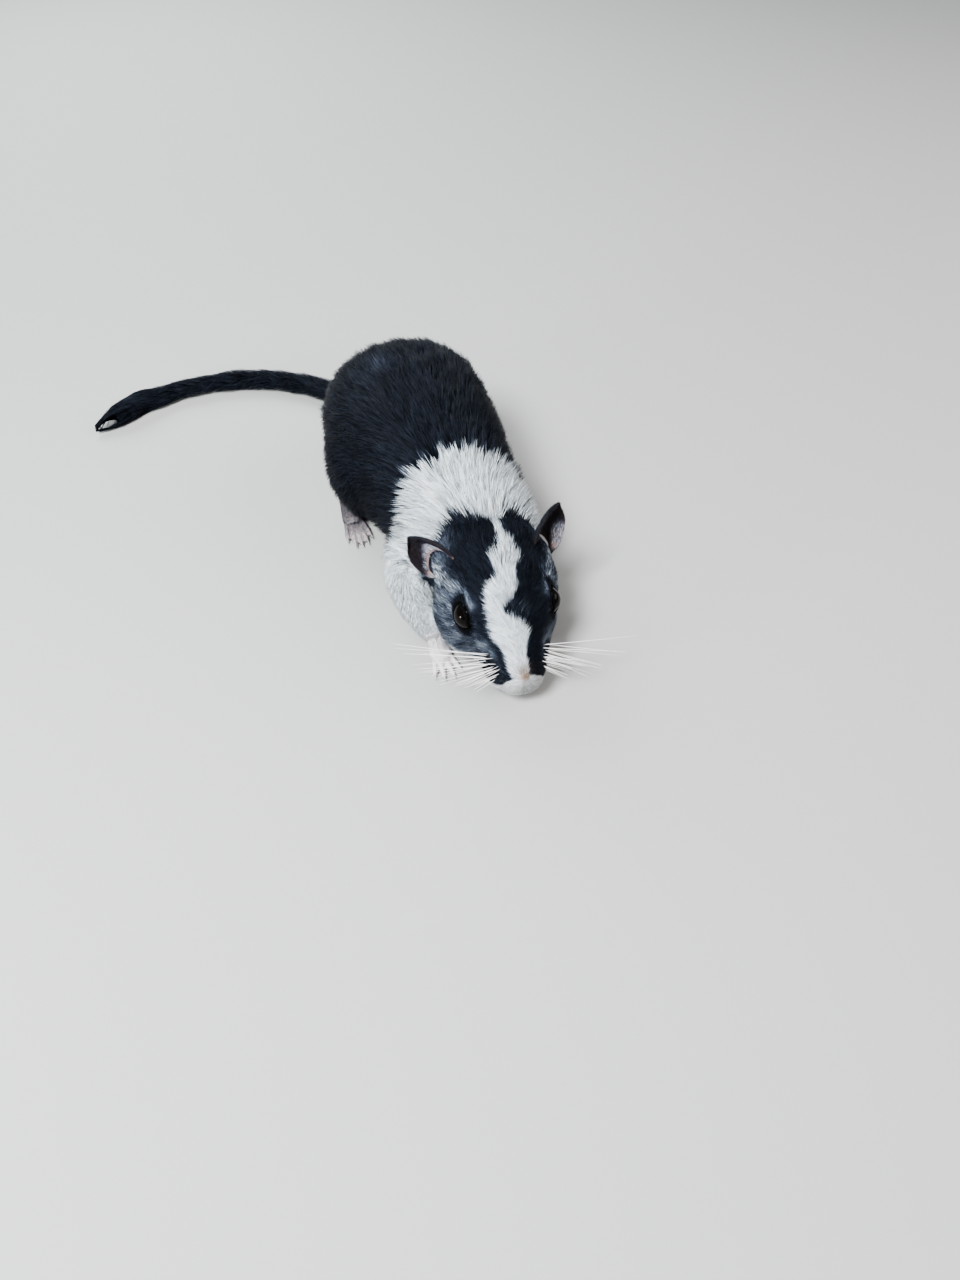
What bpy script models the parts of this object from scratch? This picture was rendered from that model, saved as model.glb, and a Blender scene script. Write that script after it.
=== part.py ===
"""A still, life-size pied gerbil, crouched on the floor, nose down, its tail laid out to its right.

The frame: metres, +Z up, the animal looks along -Y and its left side is at +X. The origin is the middle of
the small flat that its belly rests on. The outline is the outline of the coat, out to the tips of the fur.
"""

import math

import bpy
import numpy as np
from mathutils import Matrix, Vector
from mathutils.bvhtree import BVHTree

# What all pieces share
GAP = 0.0003
FLOOR_DEPTH = 0.02
LEFT, RIGHT = 1, -1
BLOCK_REACH = 0.12
FLOOR_REACH = 0.3

# The head has its own axes: across to the left, back from the nose, and up through the forehead
NOSE = Vector((0.0, -0.0600, 0.0115))
HEAD_PITCH = math.radians(15)
HEAD_TURN = math.radians(5.5)
HEAD_SIDES, HEAD_RINGS = 40, 34
# Stations of the head: back from the nose, axis height, rise above it, drop below it, half width
HEAD_STATIONS = (
    (-0.0021, -0.0044, 0.0022, 0.0020, 0.0026),
    (-0.0010, -0.0044, 0.0046, 0.0036, 0.0044),
    (0.0010, -0.0042, 0.0064, 0.0046, 0.0059),
    (0.0040, -0.0038, 0.0079, 0.0054, 0.0070),
    (0.0080, -0.0036, 0.0095, 0.0061, 0.0088),
    (0.0120, -0.0040, 0.0116, 0.0064, 0.0110),
    (0.0170, -0.0044, 0.0134, 0.0068, 0.0134),
    (0.0220, -0.0044, 0.0145, 0.0068, 0.0148),
    (0.0280, -0.0038, 0.0143, 0.0078, 0.0154),
    (0.0340, -0.0030, 0.0128, 0.0086, 0.0150),
    (0.0390, -0.0024, 0.0104, 0.0082, 0.0134),
    (0.0430, -0.0024, 0.0060, 0.0056, 0.0090),
)
HEAD_START, HEAD_END = -0.0027, 0.0450
# Rounded forms under the coat of the head: across, back, up, and a radius along each
WHISKER_PADS = {
    LEFT: ((0.0040, 0.0048, -0.0044), (0.0034, 0.0044, 0.0036)),
    RIGHT: ((0.0050, 0.0054, -0.0044), (0.0038, 0.0054, 0.0038)),
}
CHEEK = ((0.0086, 0.0235, -0.0056), (0.0068, 0.0085, 0.0056))
# The right cheek is pushed out over the foreleg
JOWL = ((0.0098, 0.0220, -0.0056), (0.0070, 0.0118, 0.0056))
BROW = ((0.0070, 0.0185, 0.0052), (0.0042, 0.0060, 0.0034))
EYE_MOUND_RADIUS = 0.0042
EYE_MOUND_DEPTH = 0.0006
NOSE_PAD = ((0.0, -0.0004, 0.0004), (0.0016, 0.0014, 0.0012))

# Eyes
EYE_PLACE = (0.0095, 0.0172, 0.0030)
EYE_RADIUS = 0.0036
EYE_AXIS = (0.88, -0.30, 0.36)
EYE_RINGS, EYE_SIDES = 10, 16
LID_LONG_WAY = (0.0, -0.94, -0.34)
LID_HALF_LENGTH = 0.0032
LID_HALF_HEIGHT = 0.0028
LID_THICKNESS = 0.00038
LID_POINTS, LID_SIDES = 24, 8

# Nose and mouth, cut as fine grooves
GROOVE_SIDES = 8
GROOVE_EVENINGS = 3
NOSTRIL_RADIUS = 0.00042
NOSTRIL_PATH = ((0.0006, -0.0020, -0.0002), (0.0013, -0.0016, 0.0002), (0.0018, -0.0006, 0.0008))
CLEFT_RADIUS = 0.00032
CLEFT_PATH = ((0.0, -0.0024, -0.0008), (0.0, -0.0030, -0.0028), (0.0, -0.0028, -0.0050))
MOUTH_RADIUS = 0.00036
MOUTH_POINTS = 18
SHORT_GROOVE_POINTS = 6
MOUTH_FRONT = 0.0022
MOUTH_FRONT_DROP = 0.0060
MOUTH_CORNER_DROP = 0.0022
MOUTH_HALF_WIDTH = 0.0062
MOUTH_LENGTH = 0.0086
MOUTH_CORNER_RISE = 0.0006

# Ears: where the root sits on the head, then the cup's own sizes. The right ear lies further out
EAR_ROOT = (0.0122, 0.0292, 0.0026)
EAR_SUNK = 0.0036
EAR_HEIGHTS = {LEFT: 0.0142, RIGHT: 0.0132}
EAR_HALF_WIDTH = 0.0054
EAR_THICKNESS = 0.0008
EAR_CURL_AT_ROOT = math.radians(82)
EAR_CURL_AT_TIP = math.radians(38)
EAR_BACK_LEAN = 0.0016
EAR_ROOT_WIDTH = 0.84
EAR_NARROWS_FROM = 0.5
EAR_TIP_POWER = 2.4
EAR_SIDE_DROP = 0.10
EAR_ROWS, EAR_COLUMNS = 11, 10
EAR_DIRECTIONS = {LEFT: (0.42, 0.47, 0.78), RIGHT: (-0.68, 0.46, 0.57)}
EAR_FACINGS = {LEFT: (0.38, -0.92, 0.05), RIGHT: (-0.25, -0.96, 0.10)}

# Trunk stations: along Y, middle across, underside, back line, half width
TRUNK_SIDES, TRUNK_RINGS = 44, 40
TRUNK_STATIONS = (
    (-0.0380, 0.0026, 0.0140, 0.0270, 0.0080),
    (-0.0330, 0.0028, 0.0105, 0.0300, 0.0120),
    (-0.0260, 0.0026, 0.0070, 0.0325, 0.0158),
    (-0.0170, 0.0020, 0.0034, 0.0360, 0.0172),
    (-0.0060, 0.0010, -0.0004, 0.0400, 0.0182),
    (0.0060, 0.0000, -0.0014, 0.0430, 0.0200),
    (0.0180, -0.0008, -0.0014, 0.0452, 0.0222),
    (0.0290, -0.0014, -0.0010, 0.0452, 0.0235),
    (0.0380, -0.0018, 0.0004, 0.0422, 0.0223),
    (0.0445, -0.0020, 0.0028, 0.0366, 0.0188),
    (0.0492, -0.0020, 0.0062, 0.0295, 0.0132),
)
TRUNK_START = (0.0026, -0.0400, 0.0205)
TRUNK_END = (-0.0020, 0.0525, 0.0170)
WIDEST_LEVEL = 0.42
# Haunch and shoulder swell from the trunk's sides
HAUNCH = ((0.0145, 0.0235, 0.0150), (0.0112, 0.0170, 0.0148))
HAUNCH_MIDDLE = -0.0012
SHOULDER = ((0.0108, -0.0125, 0.0160), (0.0085, 0.0110, 0.0125))
SHOULDER_MIDDLE = 0.0016

# How the forms are run together into one body
VOXEL = 0.0005
SMOOTHING, SMOOTHING_STEPS = 0.6, 14
BODY_TRIANGLES = 3400

# Where the body is parted
NECK_FRONT_BACK_FROM_NOSE = 0.0365
NECK_REAR = (0.0, -0.0130, 0.0200)
NECK_REAR_LEAN = math.radians(12)
THIGH_CUT = ((0.0090, 0.0215, 0.0132), (0.0168, 0.0138))
THIGH_REACH = 0.03
# The plug that takes the thigh out of the body: how far out from its inner end, share of its size
THIGH_PLUG = ((0.0, 0.80), (0.0012, 0.91), (0.0034, 0.975), (0.0070, 1.0), (THIGH_REACH, 1.03))
THIGH_SIDES = 24

# Forelegs, from the shoulder down to the wrist: place and radius. The left one is tucked under the head
FORELEGS = {
    RIGHT: (
        ((-0.0132, -0.0120, 0.0130), 0.0062),
        ((-0.0158, -0.0175, 0.0095), 0.0062),
        ((-0.0162, -0.0240, 0.0076), 0.0053),
        ((-0.0153, -0.0305, 0.0058), 0.0040),
        ((-0.0143, -0.0352, 0.0042), 0.0028),
    ),
    LEFT: (
        ((0.0125, -0.0110, 0.0120), 0.0058),
        ((0.0140, -0.0165, 0.0088), 0.0050),
        ((0.0143, -0.0225, 0.0066), 0.0040),
        ((0.0130, -0.0275, 0.0052), 0.0031),
        ((0.0118, -0.0320, 0.0040), 0.0025),
    ),
}
PALMS = {RIGHT: (-0.0141, -0.0386, 0.0014), LEFT: (0.0112, -0.0356, 0.0014)}
PALM_RADII = (0.0029, 0.0037, 0.0019)
WRIST_RADIUS = 0.0023
WRIST_START = Vector((0.0, 0.0014, 0.0008))
WRIST_WAY = Vector((0.0, -0.85, -0.52))
FINGER_ROOTS = (0.0044, 0.0024)
FINGER_SPREAD = (-0.52, -0.17, 0.17, 0.50)
FINGER_LENGTHS = (0.0042, 0.0052, 0.0050, 0.0040)
FINGER_RADIUS = 0.00078
FINGER_ARCH = 0.0005

# Hind feet
HINDFOOT_MIDDLE = -0.0002
HINDFOOT = (
    ((0.0208, 0.0352, 0.0022), 0.0024),
    ((0.0210, 0.0312, 0.0026), 0.0027),
    ((0.0215, 0.0255, 0.0025), 0.0028),
    ((0.0220, 0.0200, 0.0022), 0.0030),
    ((0.0224, 0.0165, 0.0016), 0.0031),
)
SOLE_FLATNESS = 0.80
TOE_ROOTS_BEHIND = 0.0008
TOE_ROOTS = (0.0060, 0.0026)
TOE_SPREAD = (-0.36, -0.17, 0.0, 0.17, 0.38)
TOE_LENGTHS = (0.0058, 0.0080, 0.0085, 0.0080, 0.0055)
TOE_RADIUS = 0.00088
TOE_ARCH = 0.0006

# Stations of any toe: share of its length, share of its arch, share of its radius
DIGIT_STATIONS = ((-0.25, 0.0, 1.05), (0.15, 1.0, 1.0), (0.55, 0.5, 0.92), (0.86, 0.0, 0.86))
# Stations of its claw: share of the claw's length, height and radius as shares of the toe's radius
CLAW_STATIONS = ((0.0, 0.30, 0.46), (0.45, 0.42, 0.40), (0.80, 0.20, 0.26), (1.02, -0.20, 0.12))
CLAW_LENGTH_TO_RADIUS = 2.4
DIGIT_TURN = 0.55
ROOT_HEIGHT_TO_RADIUS = 0.9

# Tail: the line that it follows, and its radius along it, coat and all
TAIL_LINE = (
    (-0.0020, 0.0460, 0.0110),
    (-0.0042, 0.0550, 0.0072),
    (-0.0092, 0.0670, 0.0038),
    (-0.0180, 0.0792, 0.0032),
    (-0.0308, 0.0884, 0.0030),
    (-0.0460, 0.0932, 0.0029),
    (-0.0620, 0.0930, 0.0028),
    (-0.0770, 0.0884, 0.0028),
)
TAIL_RADII = (0.0050, 0.0044, 0.0039, 0.0035, 0.0033, 0.0032, 0.0031, 0.0027)
TAIL_SIDES = 14
TAIL_RINGS = 41
TAIL_CUTS = (0.38, 0.70)
TAIL_OVERLAP = 0.03
SLAB_REACH = 0.012
BRUSH_TIP = Vector((-0.0888, 0.0822, 0.0022))
BRUSH_RADIUS = 0.0040
BRUSH_NARROWS_AT, BRUSH_NARROWED, BRUSH_POINT = 0.6, 0.72, 0.16
BRUSH_REST = 0.86
BRUSH_RINGS = 16
# The brush's core: shares of the brush's radius at shares of its length
BRUSH_CORE = ((0.0, 1.0), (0.25, 0.80), (0.60, 0.56), (0.90, 0.44), (1.0, 0.40))
BRUSH_CORE_END = 0.84
# The brush's long hairs, as flat tapered locks that overlap round its core
LOCKS = 30
LOCK_LENGTHS = (0.0125, 0.0170)
LOCK_HALF_WIDTH = 0.00150
LOCK_HALF_THICKNESS = 0.00036
LOCK_ROOTS = (0.03, 0.72)
LOCK_FULLNESS = (0.78, 1.02)
LOCK_STRAY = 0.25
# Stations of a lock: share of its length, share of the brush's radius, share of its width
LOCK_STATIONS = (
    (0.06, 0.50, 0.70),
    (0.34, 0.86, 1.00),
    (0.66, 1.00, 0.78),
    (0.88, 0.98, 0.40),
)
LOCK_ROOT, LOCK_TIP = (0.0, 0.30), (1.0, 0.94)
TURN_BETWEEN_LOCKS = math.radians(137.5)
LOCK_LOWEST = 0.0005
LOCK_SEED = 7

# Colours
COAT_BLACK = (0.018, 0.020, 0.026)
COAT_WHITE = (0.78, 0.80, 0.82)
SKIN_PINK = (0.62, 0.42, 0.38)
EYE_BLACK = (0.006, 0.006, 0.008)


def clear_scene():
    for old in list(bpy.data.objects):
        bpy.data.objects.remove(old, do_unlink=True)


def material(name, colour, roughness):
    made = bpy.data.materials.new(name)
    made.use_nodes = True
    shader = made.node_tree.nodes["Principled BSDF"]
    shader.inputs["Base Color"].default_value = (*colour, 1.0)
    shader.inputs["Roughness"].default_value = roughness
    made.diffuse_color = (*colour, 1.0)
    return made


def mesh_object(name, points, faces):
    mesh = bpy.data.meshes.new(name)
    mesh.from_pydata([tuple(p) for p in points], [], faces)
    mesh.validate()
    made = bpy.data.objects.new(name, mesh)
    bpy.context.scene.collection.objects.link(made)
    return made


def drop(*objects):
    for old in objects:
        bpy.data.objects.remove(old, do_unlink=True)


def through(stations, count):
    """A smooth curve through the stations, each a row of numbers, as count evenly spread rows."""
    rows = np.array(stations, float)
    steps = np.linalg.norm(np.diff(rows[:, :3], axis=0), axis=1)
    at = np.concatenate([[0.0], np.cumsum(steps)])
    slopes = np.gradient(rows, at, axis=0)
    wanted = np.linspace(0.0, at[-1], count)
    left = np.clip(np.searchsorted(at, wanted, side="right") - 1, 0, len(at) - 2)
    span = (at[left + 1] - at[left])[:, None]
    t = ((wanted - at[left])[:, None]) / span
    return (
        rows[left] * (1 + 2 * t) * (1 - t) ** 2
        + slopes[left] * span * t * (1 - t) ** 2
        + rows[left + 1] * t**2 * (3 - 2 * t)
        + slopes[left + 1] * span * t**2 * (t - 1)
    )


def section(sides, half_width, rise, drop_below, fullness=2.2):
    """One rounded cross-section as (across, up) pairs, counted round from the left side."""
    turn = np.arange(sides) * 2 * math.pi / sides
    across, up = np.cos(turn), np.sin(turn)
    power = 2 / fullness
    height = np.where(up > 0, rise, drop_below)
    return np.stack(
        [
            half_width * np.sign(across) * np.abs(across) ** power,
            height * np.sign(up) * np.abs(up) ** power,
        ],
        axis=1,
    )


def loft(name, rings, first_pole, last_pole):
    """A closed body through rings of equally many points, each end drawn to a pole."""
    sides = len(rings[0])
    points = [first_pole, *(p for ring in rings for p in ring), last_pole]
    faces = []
    for i in range(sides):
        j = (i + 1) % sides
        faces.append((0, 1 + j, 1 + i))
        for k in range(len(rings) - 1):
            a, b = 1 + k * sides, 1 + (k + 1) * sides
            faces.append((a + i, a + j, b + j, b + i))
        last = 1 + (len(rings) - 1) * sides
        faces.append((len(points) - 1, last + i, last + j))
    made = mesh_object(name, points, faces)
    if volume(made) < 0:
        made.data.flip_normals()
    return made


def volume(obj):
    mesh = obj.data
    mesh.calc_loop_triangles()
    points = np.array([v.co for v in mesh.vertices])
    corners = points[np.array([t.vertices for t in mesh.loop_triangles])]
    return float(np.einsum("ij,ij->i", corners[:, 0], np.cross(corners[:, 1], corners[:, 2])).sum() / 6)


def frames_along(line):
    """The direction, the across and the up at each point of a line, carried along without a twist."""
    ahead = np.gradient(line, axis=0)
    ahead /= np.linalg.norm(ahead, axis=1)[:, None]
    square_to = [0.0, 0.0, 1.0] if abs(ahead[0][2]) < abs(ahead[0][:2]).max() else [1.0, 0.0, 0.0]
    across = [np.cross(ahead[0], square_to)]
    for direction in ahead[1:]:
        across.append(across[-1] - direction * (across[-1] @ direction))
    across = np.array(across)
    across /= np.linalg.norm(across, axis=1)[:, None]
    return ahead, across, np.cross(across, ahead)


def tube(name, line, radii, sides, flatness=1.0, round_ends=3):
    """A tube of changing radius along a line of points, with rounded ends."""
    line = np.array(line, float)
    radii = np.array(radii, float)
    ahead, across, up = frames_along(line)
    turn = np.arange(sides) * 2 * math.pi / sides
    circle_across, circle_up = np.cos(turn)[:, None], np.sin(turn)[:, None] * flatness

    def ring(k, shift, scale):
        middle = line[k] + ahead[k] * shift
        return middle + radii[k] * scale * (circle_across * across[k] + circle_up * up[k])

    turns = [math.pi / 2 * n / (round_ends + 1) for n in range(round_ends, 0, -1)]
    start = [ring(0, -radii[0] * math.sin(a), math.cos(a)) for a in turns]
    middle = [ring(k, 0.0, 1.0) for k in range(len(line))]
    end = [ring(-1, radii[-1] * math.sin(a), math.cos(a)) for a in reversed(turns)]
    first = line[0] - ahead[0] * radii[0]
    last = line[-1] + ahead[-1] * radii[-1]
    return loft(name, [*start, *middle, *end], first, last)


def ellipsoid(name, centre, radii, axes=None, rings=10, sides=20):
    """A ball stretched by its radii along its axes, which are the world's unless given."""
    axes = axes or Matrix.Identity(3)
    centre = Vector(centre)

    def place(across, back, up):
        return centre + axes @ Vector((across * radii[0], back * radii[1], up * radii[2]))

    levels = [math.pi * n / rings - math.pi / 2 for n in range(1, rings)]
    turn = [2 * math.pi * n / sides for n in range(sides)]
    rounds = []
    for v in levels:
        wide = math.cos(v)
        rounds.append([place(wide * math.cos(a), wide * math.sin(a), math.sin(v)) for a in turn])
    return loft(name, rounds, place(0, 0, -1), place(0, 0, 1))


def box(name, low, high, matrix=None):
    (left, front, bottom), (right, back, top) = low, high
    corners = [Vector((x, y, z)) for z in (bottom, top) for y in (front, back) for x in (left, right)]
    faces = [(0, 2, 3, 1), (4, 5, 7, 6), (0, 1, 5, 4), (2, 6, 7, 3), (0, 4, 6, 2), (1, 3, 7, 5)]
    return mesh_object(name, [(matrix or Matrix.Identity(4)) @ c for c in corners], faces)


def settle(obj):
    """Applies the object's modifiers."""
    graph = bpy.context.evaluated_depsgraph_get()
    old = obj.data
    made = bpy.data.meshes.new_from_object(obj.evaluated_get(graph))
    obj.modifiers.clear()
    obj.data = made
    bpy.data.meshes.remove(old)
    return obj


def copy_of(obj, name):
    made = obj.copy()
    made.data = obj.data.copy()
    made.name = name
    bpy.context.scene.collection.objects.link(made)
    return made


def grown(obj, by):
    """A copy of the object with its surface moved out."""
    made = copy_of(obj, obj.name + "_grown")
    push = made.modifiers.new("grow", "DISPLACE")
    push.strength = by
    push.mid_level = 0.0
    push.direction = "NORMAL"
    return settle(made)


def combine(obj, others, operation, solver="EXACT"):
    """A Boolean of obj with each of the others, which are then removed."""
    helpers = bpy.data.collections.new("helpers")
    for other in others:
        helpers.objects.link(other)
    step = obj.modifiers.new(operation.lower(), "BOOLEAN")
    step.operation = operation
    step.solver = solver
    step.operand_type = "COLLECTION"
    step.collection = helpers
    settle(obj)
    drop(*others)
    bpy.data.collections.remove(helpers)
    return obj


def cut(obj, *cutters):
    for cutter in cutters:
        combine(obj, [cutter], "DIFFERENCE")
    return obj


def kept_inside(obj, region):
    return combine(obj, [region], "INTERSECT")


def fused(name, pieces):
    """One closed body out of pieces that overlap."""
    first, *rest = pieces
    first.name = name
    return combine(first, rest, "UNION")


def largest_only(obj):
    """Keeps the object's largest closed surface."""
    mesh = obj.data
    count = len(mesh.vertices)
    label = np.arange(count)
    edges = np.array([e.vertices for e in mesh.edges])
    while True:
        low = np.minimum(label[edges[:, 0]], label[edges[:, 1]])
        new = label.copy()
        np.minimum.at(new, edges[:, 0], low)
        np.minimum.at(new, edges[:, 1], low)
        new = new[new]
        if (new == label).all():
            break
        label = new
    names, sizes = np.unique(label, return_counts=True)
    keep = label == names[sizes.argmax()]
    if keep.all():
        return obj
    index = np.cumsum(keep) - 1
    points = [tuple(v.co) for v in mesh.vertices if keep[v.index]]
    faces = [tuple(int(index[i]) for i in p.vertices) for p in mesh.polygons if keep[p.vertices[0]]]
    made = bpy.data.meshes.new(mesh.name)
    made.from_pydata(points, [], faces)
    obj.data = made
    bpy.data.meshes.remove(mesh)
    return obj


def run_together(name, pieces):
    """Overlapping forms made into one skin, with the creases between them smoothed out."""
    points, faces = [], []
    for piece in pieces:
        start = len(points)
        points += [tuple(v.co) for v in piece.data.vertices]
        faces += [tuple(start + i for i in p.vertices) for p in piece.data.polygons]
    drop(*pieces)
    body = mesh_object(name, points, faces)
    remesh = body.modifiers.new("one skin", "REMESH")
    remesh.mode = "VOXEL"
    remesh.voxel_size = VOXEL
    smooth = body.modifiers.new("soft creases", "SMOOTH")
    smooth.factor = SMOOTHING
    smooth.iterations = SMOOTHING_STEPS
    return settle(body)


def thinned(obj, triangles):
    """Fewer faces where the surface is nearly flat, down to about this many triangles."""
    step = obj.modifiers.new("fewer faces", "DECIMATE")
    step.ratio = triangles / sum(len(p.vertices) - 2 for p in obj.data.polygons)
    step.use_collapse_triangulate = True
    return settle(obj)


def above_floor(obj):
    """The object cut off level with the floor, so that it stands on a flat."""
    low, high = (-FLOOR_REACH, -FLOOR_REACH, -FLOOR_DEPTH), (FLOOR_REACH, FLOOR_REACH, 0.0)
    return cut(obj, box("under_floor", low, high))


def finish(obj, name, finish_material):
    obj.name = name
    obj.data.name = name
    obj.data.materials.clear()
    obj.data.materials.append(finish_material)
    obj.data.shade_smooth()
    return obj


def head_axes():
    """The head's frame: columns across to the left, back from the nose, up, with the nose as origin."""
    side = Vector((math.cos(HEAD_TURN), -math.sin(HEAD_TURN), 0))
    back = Vector((
        math.sin(HEAD_TURN) * math.cos(HEAD_PITCH),
        math.cos(HEAD_TURN) * math.cos(HEAD_PITCH),
        math.sin(HEAD_PITCH),
    ))
    up = side.cross(back)
    frame = Matrix((side, back, up)).transposed().to_4x4()
    frame.translation = NOSE
    return frame


def on_head(frame, place, side=1):
    """A place given across, back and up on the head, in the world."""
    return frame @ Vector((side * place[0], place[1], place[2]))


def head_form(frame):
    rings = []
    for back, axis, rise, fall, half in through(HEAD_STATIONS, HEAD_RINGS):
        rings.append([
            on_head(frame, (across, back, axis + up)) for across, up in section(HEAD_SIDES, half, rise, fall)
        ])
    return loft(
        "head_form",
        rings,
        on_head(frame, (0, HEAD_START, HEAD_STATIONS[0][1])),
        on_head(frame, (0, HEAD_END, HEAD_STATIONS[-1][1])),
    )


def trunk_form():
    rings = []
    for along, middle, low, high, half in through(TRUNK_STATIONS, TRUNK_RINGS):
        level = low + WIDEST_LEVEL * (high - low)
        rings.append([
            (middle + across, along, level + up)
            for across, up in section(TRUNK_SIDES, half, high - level, level - low)
        ])
    return loft("trunk_form", rings, TRUNK_START, TRUNK_END)


def swelling(name, sizes, middle, side):
    (across, along, up), radii = sizes
    return ellipsoid(name, (middle + side * across, along, up), radii)


def body_form(frame):
    axes = frame.to_3x3()
    pieces = [head_form(frame), trunk_form()]
    for side in (LEFT, RIGHT):
        pieces.append(swelling("haunch", HAUNCH, HAUNCH_MIDDLE, side))
        pieces.append(swelling("shoulder", SHOULDER, SHOULDER_MIDDLE, side))
        for place, radii in (WHISKER_PADS[side], CHEEK, BROW):
            pieces.append(ellipsoid("face_form", on_head(frame, place, side), radii, axes))
        look = eye_directions(frame, side)[0]
        mound = eye_centre(frame, side) - look * EYE_MOUND_DEPTH
        pieces.append(ellipsoid("eye_mound", mound, (EYE_MOUND_RADIUS,) * 3))
    pieces.append(ellipsoid("jowl", on_head(frame, JOWL[0], RIGHT), JOWL[1], axes))
    pieces.append(ellipsoid("nose_pad", on_head(frame, NOSE_PAD[0]), NOSE_PAD[1], axes))
    return run_together("body", pieces)


def eye_centre(frame, side):
    return on_head(frame, EYE_PLACE, side)


def eye_directions(frame, side):
    """The way the eye looks, and the lid's long and short directions."""
    look = (frame.to_3x3() @ Vector((side * EYE_AXIS[0], EYE_AXIS[1], EYE_AXIS[2]))).normalized()
    long_way = frame.to_3x3() @ Vector(LID_LONG_WAY)
    long_way = (long_way - look * long_way.dot(look)).normalized()
    return look, long_way, look.cross(long_way)


def eyeball(frame, side, wider=0.0):
    radii = (EYE_RADIUS + wider,) * 3
    return ellipsoid("eyeball", eye_centre(frame, side), radii, frame.to_3x3(), EYE_RINGS, EYE_SIDES)


def closed_ring(name, line, radius, sides):
    """A ring of round section round a closed line."""
    line = np.array(line, float)
    ahead = np.roll(line, -1, axis=0) - np.roll(line, 1, axis=0)
    ahead /= np.linalg.norm(ahead, axis=1)[:, None]
    outward = line - line.mean(axis=0)
    outward -= ahead * np.einsum("ij,ij->i", outward, ahead)[:, None]
    outward /= np.linalg.norm(outward, axis=1)[:, None]
    other = np.cross(ahead, outward)
    turn = np.arange(sides) * 2 * math.pi / sides
    points = [p for k in range(len(line)) for p in (
        line[k] + radius * (np.cos(turn)[:, None] * outward[k] + np.sin(turn)[:, None] * other[k]))]
    faces = []
    for k in range(len(line)):
        a, b = k * sides, (k + 1) % len(line) * sides
        for i in range(sides):
            j = (i + 1) % sides
            faces.append((a + i, a + j, b + j, b + i))
    made = mesh_object(name, points, faces)
    if volume(made) < 0:
        made.data.flip_normals()
    return made


def eyelids(frame, side):
    """The rim of both lids, an oval on the eyeball that shows the front of the eye."""
    centre = eye_centre(frame, side)
    look, long_way, short_way = eye_directions(frame, side)
    rim = []
    for n in range(LID_POINTS):
        turn = 2 * math.pi * n / LID_POINTS
        off = long_way * (LID_HALF_LENGTH * math.cos(turn)) + short_way * (LID_HALF_HEIGHT * math.sin(turn))
        depth = math.sqrt(max(0.0, EYE_RADIUS**2 - off.length_squared))
        rim.append(centre + off + look * depth)
    return closed_ring("lids", rim, LID_THICKNESS, LID_SIDES)


def snapped(obj, points):
    """The nearest places on the object's surface to these points."""
    tree = BVHTree.FromPolygons([v.co for v in obj.data.vertices], [p.vertices for p in obj.data.polygons])
    return [tree.find_nearest(Vector(p))[0] for p in points]


def groove(head, path, radius, count):
    """A thin tube along the head's surface, evened out so that it never kinks."""
    line = np.array(snapped(head, through(path, count)[:, :3]))
    for _ in range(GROOVE_EVENINGS):
        line[1:-1] = (line[:-2] + 2 * line[1:-1] + line[2:]) / 4
    return tube("groove", line, [radius] * count, GROOVE_SIDES, round_ends=2)


def mouth_path(frame):
    """From one corner of the mouth round the front of the lips to the other."""
    path = []
    for across in np.linspace(-1, 1, 9):
        back = MOUTH_LENGTH * across**2 - MOUTH_FRONT
        up = MOUTH_CORNER_RISE * across**4 - MOUTH_CORNER_DROP * across**2 - MOUTH_FRONT_DROP
        path.append(on_head(frame, (MOUTH_HALF_WIDTH * across, back, up)))
    return path


def head_node(frame, body):
    head = body
    for side in (LEFT, RIGHT):
        combine(head, [eyelids(frame, side)], "UNION")
    for side in (LEFT, RIGHT):
        cut(head, eyeball(frame, side, GAP))
    cut(head, groove(head, mouth_path(frame), MOUTH_RADIUS, MOUTH_POINTS))
    cut(head, groove(head, [on_head(frame, p) for p in CLEFT_PATH], CLEFT_RADIUS, SHORT_GROOVE_POINTS))
    for side in (LEFT, RIGHT):
        path = [on_head(frame, p, side) for p in NOSTRIL_PATH]
        cut(head, groove(head, path, NOSTRIL_RADIUS, SHORT_GROOVE_POINTS))
    return largest_only(head)


def ear(frame, side):
    """A thin cup: an arc across, which opens out from the root inside the head to the tip."""
    rise = (frame.to_3x3() @ Vector(EAR_DIRECTIONS[side])).normalized()
    face = frame.to_3x3() @ Vector(EAR_FACINGS[side])
    face = (face - rise * face.dot(rise)).normalized()
    across = rise.cross(face) * side
    root = on_head(frame, EAR_ROOT, side) - rise * EAR_SUNK
    full_height = EAR_HEIGHTS[side] + EAR_SUNK

    def place(row, column, out):
        s = math.sin(math.pi / 2 * row / EAR_ROWS)
        t = -1 + 2 * column / EAR_COLUMNS
        widening = EAR_ROOT_WIDTH + (1 - EAR_ROOT_WIDTH) * min(1.0, s / EAR_NARROWS_FROM)
        taper = max(0.0, (s - EAR_NARROWS_FROM) / (1 - EAR_NARROWS_FROM))
        width = EAR_HALF_WIDTH * widening * math.sqrt(max(1e-4, 1 - taper**EAR_TIP_POWER))
        curl = EAR_CURL_AT_ROOT + (EAR_CURL_AT_TIP - EAR_CURL_AT_ROOT) * s
        bend = width / math.sin(curl)
        angle = t * curl
        radius = bend + out
        height = full_height * s * (1 - EAR_SIDE_DROP * t * t)
        lean = EAR_BACK_LEAN * s * s
        return (
            root
            + rise * height
            + across * (radius * math.sin(angle))
            - face * (radius * math.cos(angle) - bend * math.cos(curl) + lean)
        )

    half = EAR_THICKNESS / 2
    rounds = []
    for row in range(EAR_ROWS):
        front = [place(row, c, -half) for c in range(EAR_COLUMNS + 1)]
        back = [place(row, c, half) for c in range(EAR_COLUMNS, -1, -1)]
        rounds.append(front + back)
    low = sum((Vector(p) for p in rounds[0]), Vector()) / len(rounds[0])
    return loft("ear", rounds, low, place(EAR_ROWS, EAR_COLUMNS // 2, 0.0))


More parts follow.
